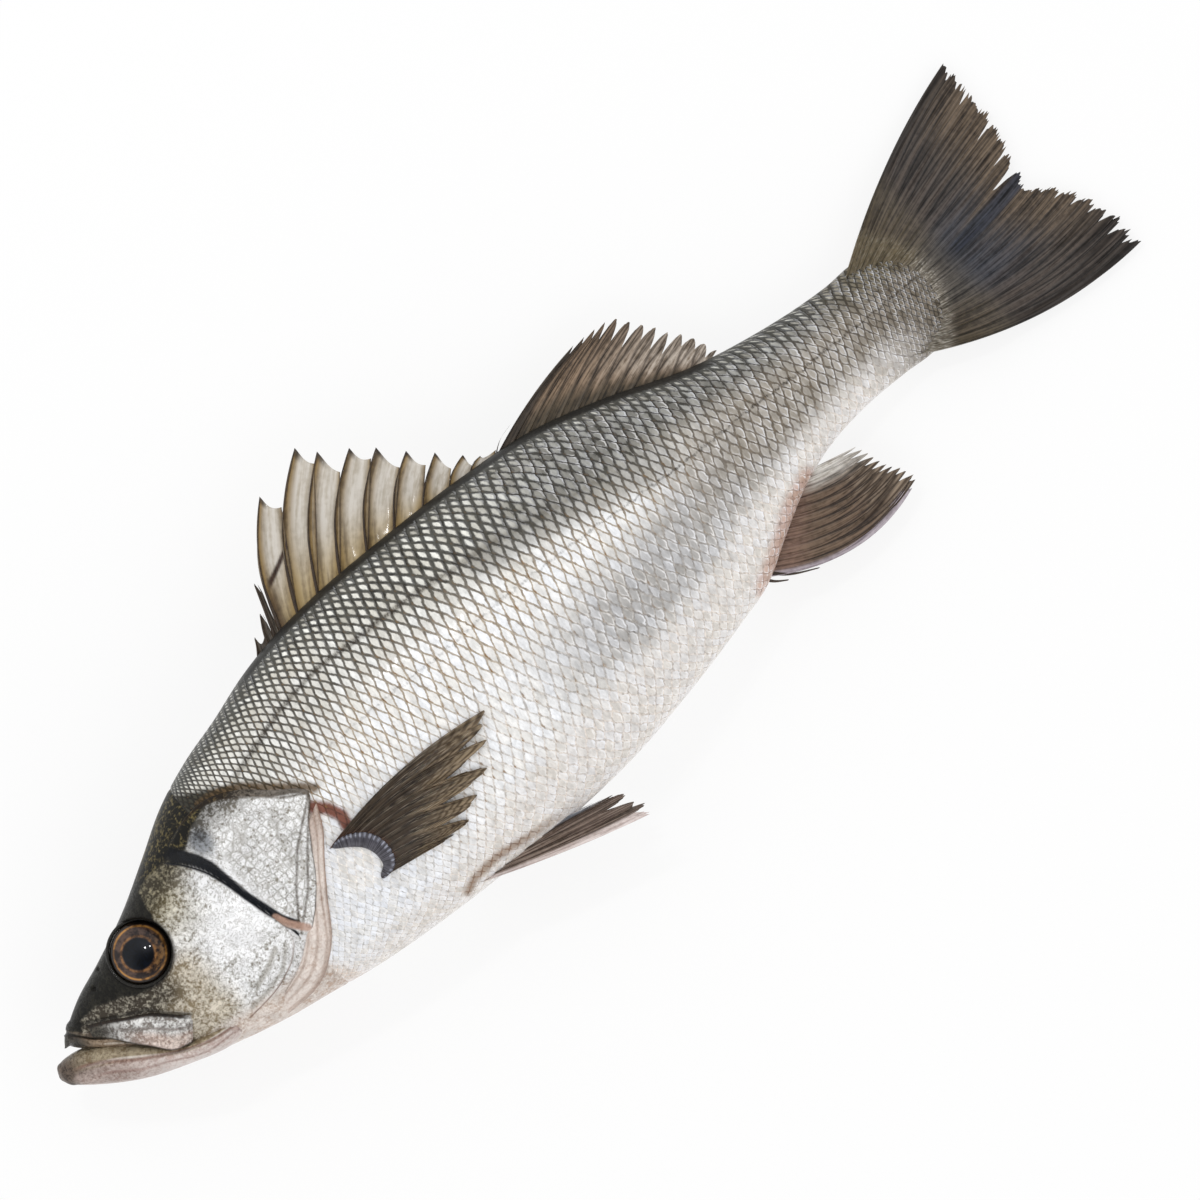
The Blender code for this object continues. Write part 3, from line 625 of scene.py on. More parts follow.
def mottled_skin():
    """Silver head skin: foil crinkled into bright and dark flecks of 1 mm and thin squiggles, with a net
    of small scales 3 mm apart where there are any."""
    material, tree, sockets, (light, dark, kind) = new_material("silver_fish_head_skin", 0.3, 0.3, 0.07)
    kind = add(tree, "SeparateXYZ", kind).node.outputs
    here = add(tree, "TexCoord", output=3)
    coarse = add(tree, "TexNoise", here, Scale=800, Detail=5, Roughness=0.7, Distortion=0.3)
    big = add(tree, "TexNoise", here, Scale=260, Detail=3)
    coarse = add(tree, "Mix", 0.33, coarse, big, data_type="FLOAT")
    leaning = add(tree, "Math", kind[0], 0.42, coarse, operation="MULTIPLY_ADD")
    fleck = add(tree, "MapRange", leaning, 0.6, 0.76, interpolation_type="SMOOTHSTEP")
    curl = add(tree, "TexNoise", here, Scale=520, Detail=2, Distortion=1.2)
    curl = add(tree, "Math", curl, 0.5, operation="SUBTRACT")
    curl = add(tree, "Math", curl, operation="ABSOLUTE")
    curl = add(tree, "MapRange", curl, 0.0, 0.05, 0.95, 0.0, interpolation_type="SMOOTHSTEP")
    curl = add(tree, "Math", curl, leaning, operation="MULTIPLY")
    cells = add(tree, "TexVoronoi", here, Scale=330, Randomness=0.6, feature="DISTANCE_TO_EDGE")
    broken = add(tree, "Math", coarse, 0.5, cells, operation="MULTIPLY_ADD")
    net = add(tree, "MapRange", broken, 0.18, 0.4, 0.9, 0.0, interpolation_type="SMOOTHSTEP")
    net = add(tree, "Math", net, kind[1], operation="MULTIPLY")
    amount = add(tree, "Math", fleck, net, operation="MAXIMUM")
    amount = add(tree, "Math", amount, curl, operation="MAXIMUM")
    colour = add(tree, "Mix", amount, light, dark, data_type="RGBA")
    cloud = add(tree, "TexNoise", here, Scale=130, Detail=3)
    cloud = add(tree, "MapRange", cloud, 0.3, 0.7, 0.86, 1.1)
    colour = add(tree, "VectorMath", colour, Scale=cloud, operation="SCALE")
    rough = add(tree, "MapRange", amount, 0.0, 1.0, 0.24, 0.46)
    wet = add(tree, "MapRange", kind[2], 0.0, 1.0, 0.3, 0.06)
    height = add(tree, "Math", coarse, amount, operation="SUBTRACT")
    bump = add(tree, "Bump", Strength=0.7, Distance=0.0003, Height=height)
    for name, value in (("Base Color", colour), ("Roughness", rough), ("Coat Weight", wet), ("Normal", bump)):
        tree.links.new(value, sockets[name])
    sockets["Specular IOR Level"].default_value = 0.2
    return material


def head_shape(u, v, _):
    closed = np.where(u < 1e-6, 0.0, 1.0)
    s = BODY_START + (HEAD_END - BODY_START) * u ** 1.25
    turn = v * 2 * math.pi - math.pi / 2
    side = np.where(np.cos(turn) >= 0, 1.0, -1.0)
    angle = np.arcsin(np.clip(np.sin(turn), -1, 1))
    points = skin(s, angle, side)
    h = points[:, 1]
    lip = ramp(distance_to(LIP_GROOVE, s, h), 1.3, 0.2) + 0.8 * ramp(distance_to(SNOUT_GROOVE, s, h), 1.2, 0.2)
    pits = sum(ramp(np.hypot(s - x, h - y), size, size * 0.3) for x, y, size in NOSTRILS)
    swell = 0.7 * ramp(distance_to(LIP_GROOVE, s, h), 5, 2.5) * ramp(s, 45, 35)
    lift = (swell - LIP_GROOVE_DEPTH * lip - NOSTRIL_DEPTH * pits) * ramp(s, 7, 12)
    lift = lift - TUCKED_IN * ramp(s, *UNDER_HEAD[::-1])
    points = points + outward(s, angle, side) * lift[:, None]
    away = np.hypot(s - EYE_S, h - EYE_H)
    well = ramp(away, EYE_RADIUS + EYE_RIM + 0.6, EYE_RADIUS)
    bottom = middle(EYE_S) + side * (EYE_OUT - SOCKET_DEPTH - EYE_LEAN * (h - EYE_H))
    points[:, 2] += (bottom - points[:, 2]) * well
    points[:, 2] = np.maximum(points[:, 2], 0.0)
    points[closed == 0] = (BODY_START - 0.4, 4.1, float(middle(BODY_START)))
    light, dark, kind = head_colours(s, h)
    from_groove = distance_to(LIP_GROOVE, s, h)
    lips = ramp(s, 48, 38) * ramp(h - belly(s), 7.5, 5.5)
    light, dark = lay(light, dark, "A3927C", "54463A", lips)
    front = lips * ramp(s, 22, 8)
    light, dark = lay(light, dark, "57534A", "2A2722", front)
    # Painted highlight: a pale streak along the lip band
    streak = lips * ramp(np.abs(from_groove - 2.2), 0.5, 0.1) * ramp(s, 10, 18)
    light = over(light, "E2DACE", streak * 0.7)
    kind[:, 0] += (0.5 - kind[:, 0]) * lips
    # Painted shade: dark in the lip and snout grooves, the nostril pits and a ring round the eye socket
    shade = np.clip(lip + pits + ramp(away, 14, 12.6), 0, 1) * 0.85
    light, dark = lay(light, dark, "1E1B17", "14120F", shade)
    return points, {"light": light, "dark": dark, "kind": kind}


head_skin = mottled_skin()
finish_piece("head", grid(HEAD_COLUMNS, HEAD_ROWS), head_shape, "fish", head_skin, facing=0)

# Cheeks, gill covers, gill skirts and lip bones
# Flat bones under silver skin that overlap like shutters towards the tail, each with a rounded free
# edge standing a little proud. They are hinged under the skin and close over the gills.
PLATE_SINK = 1.6
PLATE_LENGTH = 60
FLOOR_GAP = 0.12
CHEEK = (((70, 30), (71.5, 18), (71, 8), (69, -2), (67, -12), (65, -21), (60, -28)),
         ((79.5, 30), (84.4, 24.4), (89.7, 15.7), (93.3, 3.6), (95.6, -8.5), (97, -16), (96.6, -22.5),
          (92, -27.5), (83, -31.5), (62, -33.8)))
GILL_COVER = (((79.5, 31.8), (84, 24), (88.8, 15.2), (92.3, 3.4), (94.6, -8.7), (96.4, -16.5),
               (97.8, -21.5), (98, -25)),
              ((92, 35), (105.5, 35.6), (117, 30.5), (127, 21.5), (136.4, 12), (130, 4.5), (124, -3.6),
               (119, -11), (112, -18.5), (101, -27.5)))
GILL_SKIRT = (((126, 4), (118, -8), (110, -17), (101, -25), (92, -31), (78, -36)),
              ((137, 9), (131, -2), (124.5, -9.5), (116.5, -19.5), (104, -34.5), (93, -41), (73, -42)))
LIP_BONE = (((17.5, 5.2), (25, 1.2), (32, -3.2), (39, -7.6), (44.5, -13), (50, -18.6)),
            ((16, 0.6), (21.6, -5), (27, -12), (31.6, -17.6), (36.6, -23.6), (43.4, -25.6)))
UPPER_LIP = (((8.5, 7.8), (13, 4), (16.4, -0.2), (22.2, -5.1), (27.1, -12), (32, -17.8), (34.9, -22.2)),
             ((7, 4.0), (10.5, 0.2), (14.6, -3.2), (21.4, -9.9), (29.3, -16.8), (35.3, -22.7), (40.2, -26)))
FLESH_FOLD = ((96.8, -13), (98.8, -18), (103, -23.5))
CREASES = (((101, -21), (110, -10), (120, 0), (136, 11.5)), ((99, -24), (112, -14), (124, -1), (134, 9)),
           ((112, 31), (121, 24), (128, 17), (135, 12.5)))


def rolled(distance, radius):
    """How far a rounded edge falls away, from 1 at the edge to 0 a radius inside it."""
    t = 1 - np.clip(distance / radius, 0, 1)
    return 1 - np.sqrt(np.clip(1 - t * t, 0, 1))


def cheek_paint(s, h, u, v, inner, outer):
    light, dark, kind = head_colours(s, h)
    arcs = ramp(distance_to(((89.1, -21.1), (81.8, -24.7), (72.7, -27.3)), s, h), 1.6, 0.3) * 0.6
    arcs = arcs + ramp(distance_to(((93, -22.5), (86, -28.5), (77, -30.6), (68, -31)), s, h), 1.2, 0.2) * 0.5
    rim = ramp(outer, 1.0, 0.1) * ramp(u, 0.5, 0.75) * 0.8
    top = ramp(outer, 1.6, 0.4) * ramp(u, 0.55, 0.45)
    light, dark = coats(light, dark, ("8F8674", "544C3C", arcs), ("8A6249", "4B3325", rim),
            ("1A1D23", "0B0C10", top))
    return light, dark, kind, -0.5 * arcs


def cover_paint(s, h, u, v, inner, outer):
    light, dark, kind = head_colours(s, h)
    crease = np.clip(sum(ramp(distance_to(line, s, h), 0.8, 0.15) for line in CREASES), 0, 1)
    width = np.interp(u, (0, 0.15, 0.3, 0.5, 0.72, 1), (5, 5.6, 4.1, 3.0, 2.4, 1.2))
    front = ramp(inner - width, 0.5, -0.5)
    band = 2.2 * ramp(u, 0.56, 0.4)
    edge = ramp(outer - band, 1.1, 0.2)
    flesh = ramp(distance_to(FLESH_FOLD, s, h), 2.0, 1.0) * 0.9
    light, dark = coats(light, dark, ("7B7266", "3F362C", crease * 0.7, crease * 0.8),
            ("5A4930", "1F170E", edge * 0.85, edge * 0.9), ("B89684", "6A4A3B", flesh))
    front = front * (1 - flesh)
    light, dark = lay(light, dark, "15181E", "08090C", front)
    return light, dark, kind * (1 - flesh)[:, None], -0.35 * crease - 0.7 * front


def skirt_paint(s, h, u, v, inner, outer):
    light, dark = plain(len(s), "E9DED6", "C9B3A5")
    folds = (0.5 + 0.5 * np.cos(v * 17 + 2.5 * np.sin(u * 6))) ** 4
    edge = ramp(outer, 1.5, 0.3)
    top = ramp(u, 0.28, 0.0)
    light, dark = coats(light, dark, ("A98C7A", "86685A", folds * 0.5),
            ("9A7A66", "5B4234", edge * 0.7, edge * 0.8), ("A5826E", "6A4A3A", top * 0.5, top * 0.6))
    return light, dark, mottle(s, 0.25), 0.35 * (1 - folds)


def upper_lip_paint(s, h, u, v, inner, outer):
    light, dark = plain(len(s), "A08C76", "5C4936")
    # Painted highlight: a pale streak along the middle of the lip, over a low ridge
    streak = ramp(np.abs(v - 0.45 - 0.15 * np.sin(u * 7)), 0.16, 0.03) * ramp(u, 0.25, 0.4)
    light, dark = lay(light, dark, "E4DBD0", "A8957F", streak * 0.6)
    front = ramp(u, 0.3, 0.12)
    rear = ramp(u, 0.7, 0.95)
    light, dark = coats(light, dark, ("C9AFA0", "8A6A5A", rear), ("4A443C", "1F1C18", front))
    edge = np.clip(ramp(inner, 0.8, 0.3) + ramp(outer, 0.6, 0.1), 0, 1) * 0.85
    light, dark = lay(light, dark, "3A2D22", "201811", edge)
    return light, dark, mottle(s, 0.35), 0.4 * streak


def lip_paint(s, h, u, v, inner, outer):
    light, dark = plain(len(s), "EDECEA", "77706A")
    front = ramp(u, 0.4, 0.1)
    light, dark = lay(light, dark, "5A554B", "2B2823", front)
    low = ramp(v, 0.45, 0.7) * ramp(u, 0.25, 0.6)
    light, dark = lay(light, dark, "E6D2C6", "A0887C", low * 0.8)
    # Painted shadow: a dark outline along both long edges, where the raised bone meets the skin
    edge = np.clip(ramp(inner, 1.7, 0.8) * ramp(u, 1.0, 0.9) + 0.8 * ramp(outer, 0.9, 0.3), 0, 1)
    light, dark = lay(light, dark, "2E241B", "1A1511", edge)
    groove = ramp(np.abs(v - 0.5 + 0.1 * u), 0.07, 0.01) * ramp(u, 0.15, 0.4)
    light = over(light, "6B5446", groove * 0.6)
    white = ramp(u, 0.93, 0.98) * ramp(v, 0.4, 0.6)
    light = over(light, "EFE6E0", white)
    return light, dark, mottle(s, 0.42), -0.5 * groove


def head_plate(lines, inner_proud, outer_proud, paint, side, held=False):
    """A plate between two lines. A held one keeps its height over the lip instead of following it down."""
    inner_line, outer_line = path(lines[0]), path(lines[1])

    def shape(u, v, layer):
        (s0, h0), (s1, h1) = inner_line(u), outer_line(u)
        s, h = s0 + (s1 - s0) * v, h0 + (h1 - h0) * v
        width = np.hypot(s1 - s0, h1 - h0)
        light, dark, kind, carved = paint(s, h, u, v, v * width, (1 - v) * width)
        proud = inner_proud + (outer_proud - inner_proud) * v + carved
        proud = proud - 1.2 * rolled((1 - v) * width, 1.1) - 0.7 * rolled(v * width, 0.9) * (inner_proud > 0)
        ends = ramp(np.minimum(u, 1 - u) * PLATE_LENGTH, 0, 3)
        proud = -0.5 + (proud + 0.5) * ends
        out = np.where(layer > 0.5, proud, -PLATE_SINK)
        base = half_thickness(s, h)
        if held:
            base = np.maximum(base, half_thickness(s0, h0) - 2.2 * v ** 2)
        z = np.maximum(middle(s) + side * (base + out), FLOOR_GAP)
        return np.stack((s, h, z), -1), {"light": light, "dark": dark, "kind": kind}

    return shape


for name, lines, inner_proud, outer_proud, paint, columns, rows in (
        ("cheek", CHEEK, -0.9, 1.1, cheek_paint, 120, 60),
        ("gill_cover", GILL_COVER, 0.6, 1.6, cover_paint, 160, 70),
        ("gill_skirt", GILL_SKIRT, 0.8, 0.8, skirt_paint, 120, 30),
        ("upper_lip", UPPER_LIP, 0.5, 0.7, upper_lip_paint, 90, 24),
        ("lip_bone", LIP_BONE, 0.9, 1.7, lip_paint, 90, 34)):
    for side_name, side in (("left", 1), ("right", -1)):
        finish_piece(name + "_" + side_name, grid(columns, rows, doubled=True),
                     head_plate(lines, inner_proud, outer_proud, paint, side,
                             "lip" in name), "fish", head_skin)

# Lower jaw
# The hinged bone below the mouth, in thin skin: grey at the tip, tan along the lip and pink below,
# with soft folds. It hangs a little open.
JAW_TOP = ((-3.6, -2.6), (-2, 0.4), (1, 1.4), (4, 1.3), (11, -0.4), (18, -3.4), (26, -10), (37, -20), (60, -27))
JAW_BOTTOM = ((-3.6, -3.6), (-2.5, -6.5), (0, -9.1), (7.3, -15.3), (18.2, -22.9), (36.4, -31.3), (50, -36),
              (60, -37))
JAW_HALF_WIDTH = ((-3.6, 0.6), (-2, 3.6), (1, 6.2), (7, 9.2), (18, 12.6), (36, 17), (50, 17), (60, 14))
JAW_LENGTH = 63
jaw_top, jaw_bottom, jaw_width = curve(JAW_TOP), curve(JAW_BOTTOM), curve(JAW_HALF_WIDTH)


def jaw_shape(u, v, _):
    s = JAW_LENGTH * u ** 1.5 - LOWER_JAW_LEAD
    turn = v * 2 * math.pi
    share = np.sin(turn)
    tall = (jaw_top(s) - jaw_bottom(s)) / 2
    h = (jaw_top(s) + jaw_bottom(s)) / 2 + share * tall
    out = np.cos(turn) * jaw_width(s)
    lip = ramp(share, 0.25, 0.6) * ramp(share, 1.0, 0.75) * ramp(s, -2, 3) * ramp(s, 45, 30)
    fold = ramp(np.abs(share - 0.12 - 0.1 * np.sin(s * 0.2)), 0.16, 0.02) * ramp(s, 2, 8)
    fold = fold + 0.7 * ramp(np.abs(share + 0.42 + 0.06 * np.sin(s * 0.3 + 1)), 0.12, 0.02) * ramp(s, 5, 14)
    scale = 1 + (0.55 * lip - 0.6 * fold) / np.maximum(jaw_width(s), 4)
    points = np.stack((s, h, np.maximum(middle(s) + out * scale, 0.0)), -1)
    points[u < 1e-6] = (-LOWER_JAW_LEAD, -3.1, float(middle(-LOWER_JAW_LEAD)))
    points[u > 1 - 1e-6] = (59.5, -32, float(middle(60)))
    light, dark = plain(len(s), "DDD2CC", "B7A29A")
    young = ramp(s, 30, 14)
    light, dark = lay(light, dark, "BCABA3", "8A756C", young)
    tan = ramp(share, -0.1, 0.2)
    light, dark = lay(light, dark, "B3A58B", "7C6C54", tan)
    white = ramp(np.abs(share - 0.16), 0.1, 0.03) * ramp(s, 3, 10)
    light, dark = lay(light, dark, "F2ECE6", "D8CCC4", white * 0.6)
    tip = np.clip(ramp(s, 12, 1) * ramp(share, -0.6, 0.1) + ramp(s, 3, -1), 0, 1)
    light, dark = coats(light, dark, ("6B5C50", "3A2F27", tip), ("93675A", "6A463C", fold * 0.6))
    kind = mottle(s, 0.4)
    return points, {"light": light, "dark": dark, "kind": kind}


finish_piece("lower_jaw", grid(110, 160), jaw_shape, "fish", head_skin)

# Eyes
# Flattened balls in open sockets, under a clear wet cornea: blue-black pupil, brown iris marbled
# with gold between two thin gold rings. A raised ring of dark skin surrounds each.
PUPIL = 5.7


def eye_material():
    """A wet eyeball: the coat is the clear cornea, which gives small sharp highlights over the iris."""
    made = new_material("fish_eye_under_clear_cornea", 0.3, 0.6, 0.02)
    material, tree, sockets, (light, dark, fibres) = made
    marble = add(tree, "TexNoise", fibres, Scale=1.0, Detail=5, Roughness=0.65)
    share = add(tree, "MapRange", marble, 0.38, 0.6, interpolation_type="SMOOTHSTEP")
    colour = add(tree, "Mix", share, light, dark, data_type="RGBA")
    tree.links.new(colour, sockets["Base Color"])
    sockets["Specular IOR Level"].default_value = 0.1
    return material


def eye_points(x, y, out, side):
    return np.stack((EYE_S + x, EYE_H + y, middle(EYE_S) + side * (EYE_OUT + out - EYE_LEAN * y)), -1)


def eye_shape(side):
    def shape(x, y, z):
        away = np.hypot(x, y)
        radius = away * EYE_RADIUS
        points = eye_points(x * EYE_RADIUS, y * EYE_RADIUS, z * EYE_HALF_DEPTH, side)
        light, dark = plain(len(x), "54423A", "241C1B")
        low = ramp(0.6 * x - 0.8 * y, 0.1, 0.9)
        light = over(light, "8A6436", low * 0.8)
        pupil = np.hypot(radius * x / np.maximum(away, 1e-9) + 0.5, radius * y / np.maximum(away, 1e-9))
        for amount, light_code, dark_code in (
                (ramp(np.abs(pupil - 6.4), 0.55, 0.15) * 0.8, "94683C", "4A3220"),
                (ramp(np.abs(radius - 9.6), 0.5, 0.12), "B07E40", "5E4020"),
                (ramp(radius, 9.9, 10.4), "221A14", "100D0A"),
                (ramp(pupil, PUPIL + 0.3, PUPIL - 0.1), "050B16", "020409")):
            light, dark = lay(light, dark, light_code, dark_code, amount)
        turn = np.arctan2(y, x)
        fibres = np.stack((np.cos(turn) * 2.6, np.sin(turn) * 2.6, radius * 0.45), -1)
        return points, {"light": light, "dark": dark, "kind": fibres}

    return shape


def rim_shape(side):
    def shape(u, v, _):
        turn, angle = u * 2 * math.pi, v * 2 * math.pi
        radius = EYE_RADIUS + EYE_RIM + EYE_RIM * 0.85 * np.cos(angle)
        out = EYE_RIM * (0.6 + np.sin(angle))
        points = eye_points(radius * np.cos(turn), radius * np.sin(turn), out, side)
        light, dark = plain(len(u), "35332E", "1A1916")
        return points, {"light": light, "dark": dark, "kind": mottle(u, 0.5)}

    return shape


clear_eye = eye_material()
for side_name, side in (("left", 1), ("right", -1)):
    bm = bmesh.new()
    bmesh.ops.create_uvsphere(bm, u_segments=128, v_segments=96, radius=1)
    finish_piece("eye_ball_" + side_name, bm, eye_shape(side), "eye_" + side_name, clear_eye)
    finish_piece("eye_rim_" + side_name, grid(140, 20), rim_shape(side), "fish", head_skin)

# Spiny back fin
# Thirteen hard spines with thin skin stretched between them, pearly at the top, golden at the root
# and olive beside the spines. The spines are hinged under the skin of the back.
FIN_SINK = 4.0
FIN_DROOP = 0.12
TAIL_BASE = 400
SPINE_RADIUS = 0.85
WEB_THICKNESS = 0.5
SPINES = ((152, 157.5, 65.5, 158.2, 66.9), (159.5, 163, 68, 165.5, 72), (163.5, 167.5, 71.5, 171.3, 81.5),
          (166.5, 177, 85, 194.2, 103.6), (174.5, 192, 89, 215.6, 108), (184.4, 201, 85, 220.7, 101.5),
          (194.9, 212, 82, 230.2, 94.5), (207.6, 222, 77.5, 237.5, 88), (220, 234, 73.5, 244.7, 79.6),
          (232.7, 243, 67, 252, 72), (244.7, 252, 62.5, 258.9, 64.4), (254.5, 259.5, 59.6, 263.3, 59.8),
          (265, 273, 59.4, 279.3, 60.9))
WEB_ENDS = ((162, 65.5), (166, 71), (172, 80.5), (197.5, 95.3), (217, 98.9), (221.8, 90.2), (233.5, 86.2),
            (238.9, 76.7), (246.5, 70.9), (252.4, 63.6), (258.9, 58.9), (269, 57.6))


def fin_plane(s, h):
    """Height of the fins that stand in the middle plane, which droop towards the floor."""
    outside = np.maximum(np.maximum(h - back(s), belly(s) - h), 0) * (s < TAIL_BASE - 20)
    return middle(s) - FIN_DROOP * outside


def fin_skin(name, roughness):
    """Wet fin skin: fine streaks of light and dark run along the rays, with small blotches."""
    material, tree, sockets, (light, dark, streak) = new_material(name, roughness, 0.35, 0.08)
    lean = add(tree, "SeparateXYZ", streak, output=2)
    stretched = add(tree, "VectorMath", streak, (5.0, 0.22, 0.0), operation="MULTIPLY")
    lines = add(tree, "TexNoise", stretched, Scale=1.0, Detail=4, Roughness=0.6)
    specks = add(tree, "TexNoise", add(tree, "TexCoord", output=3), Scale=500, Detail=3)
    lines = add(tree, "Mix", 0.22, lines, specks, data_type="FLOAT")
    leaning = add(tree, "Math", lean, 0.4, lines, operation="MULTIPLY_ADD")
    amount = add(tree, "MapRange", leaning, 0.56, 0.84, interpolation_type="SMOOTHSTEP")
    colour = add(tree, "Mix", amount, light, dark, data_type="RGBA")
    tree.links.new(colour, sockets["Base Color"])
    bump = add(tree, "Bump", Strength=0.4, Distance=0.0002, Height=lines)
    tree.links.new(bump, sockets["Normal"])
    sockets["Specular IOR Level"].default_value = 0.3
    return material


web_skin = fin_skin("pearly_spiny_fin_web", 0.3)
spine_bone = fin_skin("dark_fin_spine", 0.35)
rods = []
for number, (foot, bend_s, bend_h, tip_s, tip_h) in enumerate(SPINES):
    rods.append(path(((foot - 1, float(back(foot)) - FIN_SINK), (bend_s, bend_h), (tip_s, tip_h))))


def spine_shape(line):
    def shape(u, v, _):
        s, h = line(u)
        angle = v * 2 * math.pi
        radius = np.where(u < 0.999, SPINE_RADIUS * (1 - 0.65 * u), 0.0)
        points = np.stack((s + radius * np.cos(angle), h + radius * 0.3 * np.cos(angle),
                           fin_plane(s, h) + radius * np.sin(angle)), -1)
        light, dark = plain(len(u), "4A3C30", "1F1813")
        # Painted highlight: a pale line along one side of the taller spines
        painted_shine = ramp(np.abs(v - 0.3), 0.08, 0.02) * ramp(u, 0.8, 0.5) * ramp(u, 0.1, 0.3) * ramp(h, 78, 84)
        light, dark = lay(light, dark, "C2B49C", "8A7A64", painted_shine * 0.75)
        return points, {"light": light, "dark": dark, "kind": np.stack((v * 4, u * 9, 0.45 + 0 * u), -1)}

    return shape


def web_shape(front, rear, end, number):
    (foot_s, foot_h), (bow_s, bow_h), (tip_s, tip_h) = front(0), front(0.5), front(1.0)
    next_s, next_h = rear(0)
    size = float(np.hypot(tip_s - foot_s, tip_h - foot_h))

    def shape(u, v, layer):
        drop = 0.3 * u + 0.7 * np.sin(u * math.pi / 2)
        edge_s = tip_s + (end[0] - tip_s) * u ** 2.2 - 0.5 * np.sin(u * math.pi) ** 2
        edge_h = tip_h + (end[1] - tip_h) * drop - (0.2 * size * np.sin(u * math.pi) if number < 3 else 0)
        root_s, root_h = foot_s + (next_s - foot_s) * u, foot_h + (next_h - foot_h) * u
        bow = 4 * v * (1 - v) * (1 - u)
        s = root_s + (edge_s - root_s) * v + bow * (bow_s - (foot_s + tip_s) / 2)
        h = root_h + (edge_h - root_h) * v + bow * (bow_h - (foot_h + tip_h) / 2)
        sag = -1.1 * np.sin(u * math.pi) * np.sin(np.clip(v, 0, 1) * math.pi) * min(size / 30, 1)
        sag = sag + 0.2 * np.sin(u * 9 + 6 * v + number) * ramp(v, 0.1, 0.4) * np.sin(u * math.pi)
        points = np.stack((s, h, fin_plane(s, h) + sag + WEB_THICKNESS * (layer - 0.5)), -1)
        light, dark = plain(len(u), "D4CEC5", "B3A999")
        front_gold = ramp(u, 0.55 - 0.2 * v, 0.06) * 0.95
        rear_gold = ramp(u, 0.5 + 0.2 * v, 0.97) * 0.85
        root = ramp(v + 0.15 * np.sin(u * 3), 0.78, 0.2) * 0.85
        spine_side = np.clip(ramp(u, 0.09, 0.02) + ramp(u, 0.93, 0.99), 0, 1)
        thorn = ramp(v, 0.955, 0.985) * ramp(u, 0.5, 0.1)
        young = 1.0 if number < 3 else 0.0
        for amount, light_code, dark_code in (
                (root, "B0965C", "77602F"), (rear_gold, "8C7344", "513E1F"), (front_gold, "8C7243", "47351B"),
                (spine_side, "4F3F30", "2A1F17"), (np.clip(thorn + young * 0.9, 0, 1), "443A32", "1E1813")):
            light, dark = lay(light, dark, light_code, dark_code, amount)
        if number == 3:
            line = v - 0.36 - 0.34 * u ** 1.4
            fold = ramp(np.abs(line), 0.05, 0.02) * ramp(u, 0.05, 0.3)
            light, dark = lay(light, dark, "46342A", "291C16", fold)
            below = ramp(line, 0.02, -0.12) * ramp(u, 0.6, 0.25) * 0.8
            light, dark = lay(light, dark, "5F4B37", "33261B", below)
        return points, {"light": light, "dark": dark,
                "kind": np.stack((u * 1.1 + number, v * 9, 0.42 + 0 * u), -1)}

    return shape


for number, line in enumerate(rods):
    finish_piece("back_spine_%d" % number, grid(36, 14), spine_shape(line), "fish", spine_bone)
for number, (front, rear, end) in enumerate(zip(rods, rods[1:], WEB_ENDS)):
    finish_piece("back_web_%d" % number, grid(24, 40, doubled=True), web_shape(front, rear, end, number),
                 "fish", web_skin)

# Soft fins
# Back, anal, tail, breast and belly fins: jointed rays that fork towards the edge, joined by thin skin
# and frayed between their tips. Each grows out of the body at its root.
RAY_THICKNESS = 1.9
WEB_SHARE = 0.32
SOFT_BACK_ROOT = (262, 343.6)
SOFT_BACK_EDGE = ((316.4, 66.8), (327.3, 65.8), (334.2, 64.4), (338.5, 58.9), (341.8, 53.5), (345.8, 46.5),
                  (348, 43.6), (351.3, 37.1), (353.5, 29.8))
ANAL_ROOT = (308, 345)
ANAL_EDGE = ((372.7, -56.3), (376.4, -53.5), (374.5, -47.6), (371.6, -43.3), (370.2, -38.5), (367.3, -31))
TAIL_ROOT = ((405, 16.5), (413, 9), (415, -2), (413, -13), (405, -20.5))
TAIL_EDGE = ((488, 51.8), (488.5, 48), (488.2, 38), (487.8, 27), (485.5, 16), (482.5, 6.5), (482.4, 2.8),
             (478.8, -2.9), (484.5, -8), (487.5, -11), (493.5, -22), (497.1, -36), (497, -43.5), (496.5, -47.3))
BREAST_ROOT = ((128, -8), (135.3, -10.9), (140, -15.3), (141.5, -21.8), (140, -26.2), (134.5, -28.4))
BREAST_EDGE = ((203.6, -9.1), (202.5, -12.4), (200, -17.5), (196.4, -21), (192.7, -26.5), (181.8, -32),
               (174.5, -35.3), (160, -34.2))
BELLY_FIN_ROOT = ((150, -50), (158, -47))
BELLY_FIN_EDGE = ((220.5, -77.8), (222.5, -75), (219, -70.5), (219, -66.5), (211, -62.5), (204, -60))
soft_skin = fin_skin("brown_soft_fin_skin", 0.38)
rng = np.random.default_rng(7)


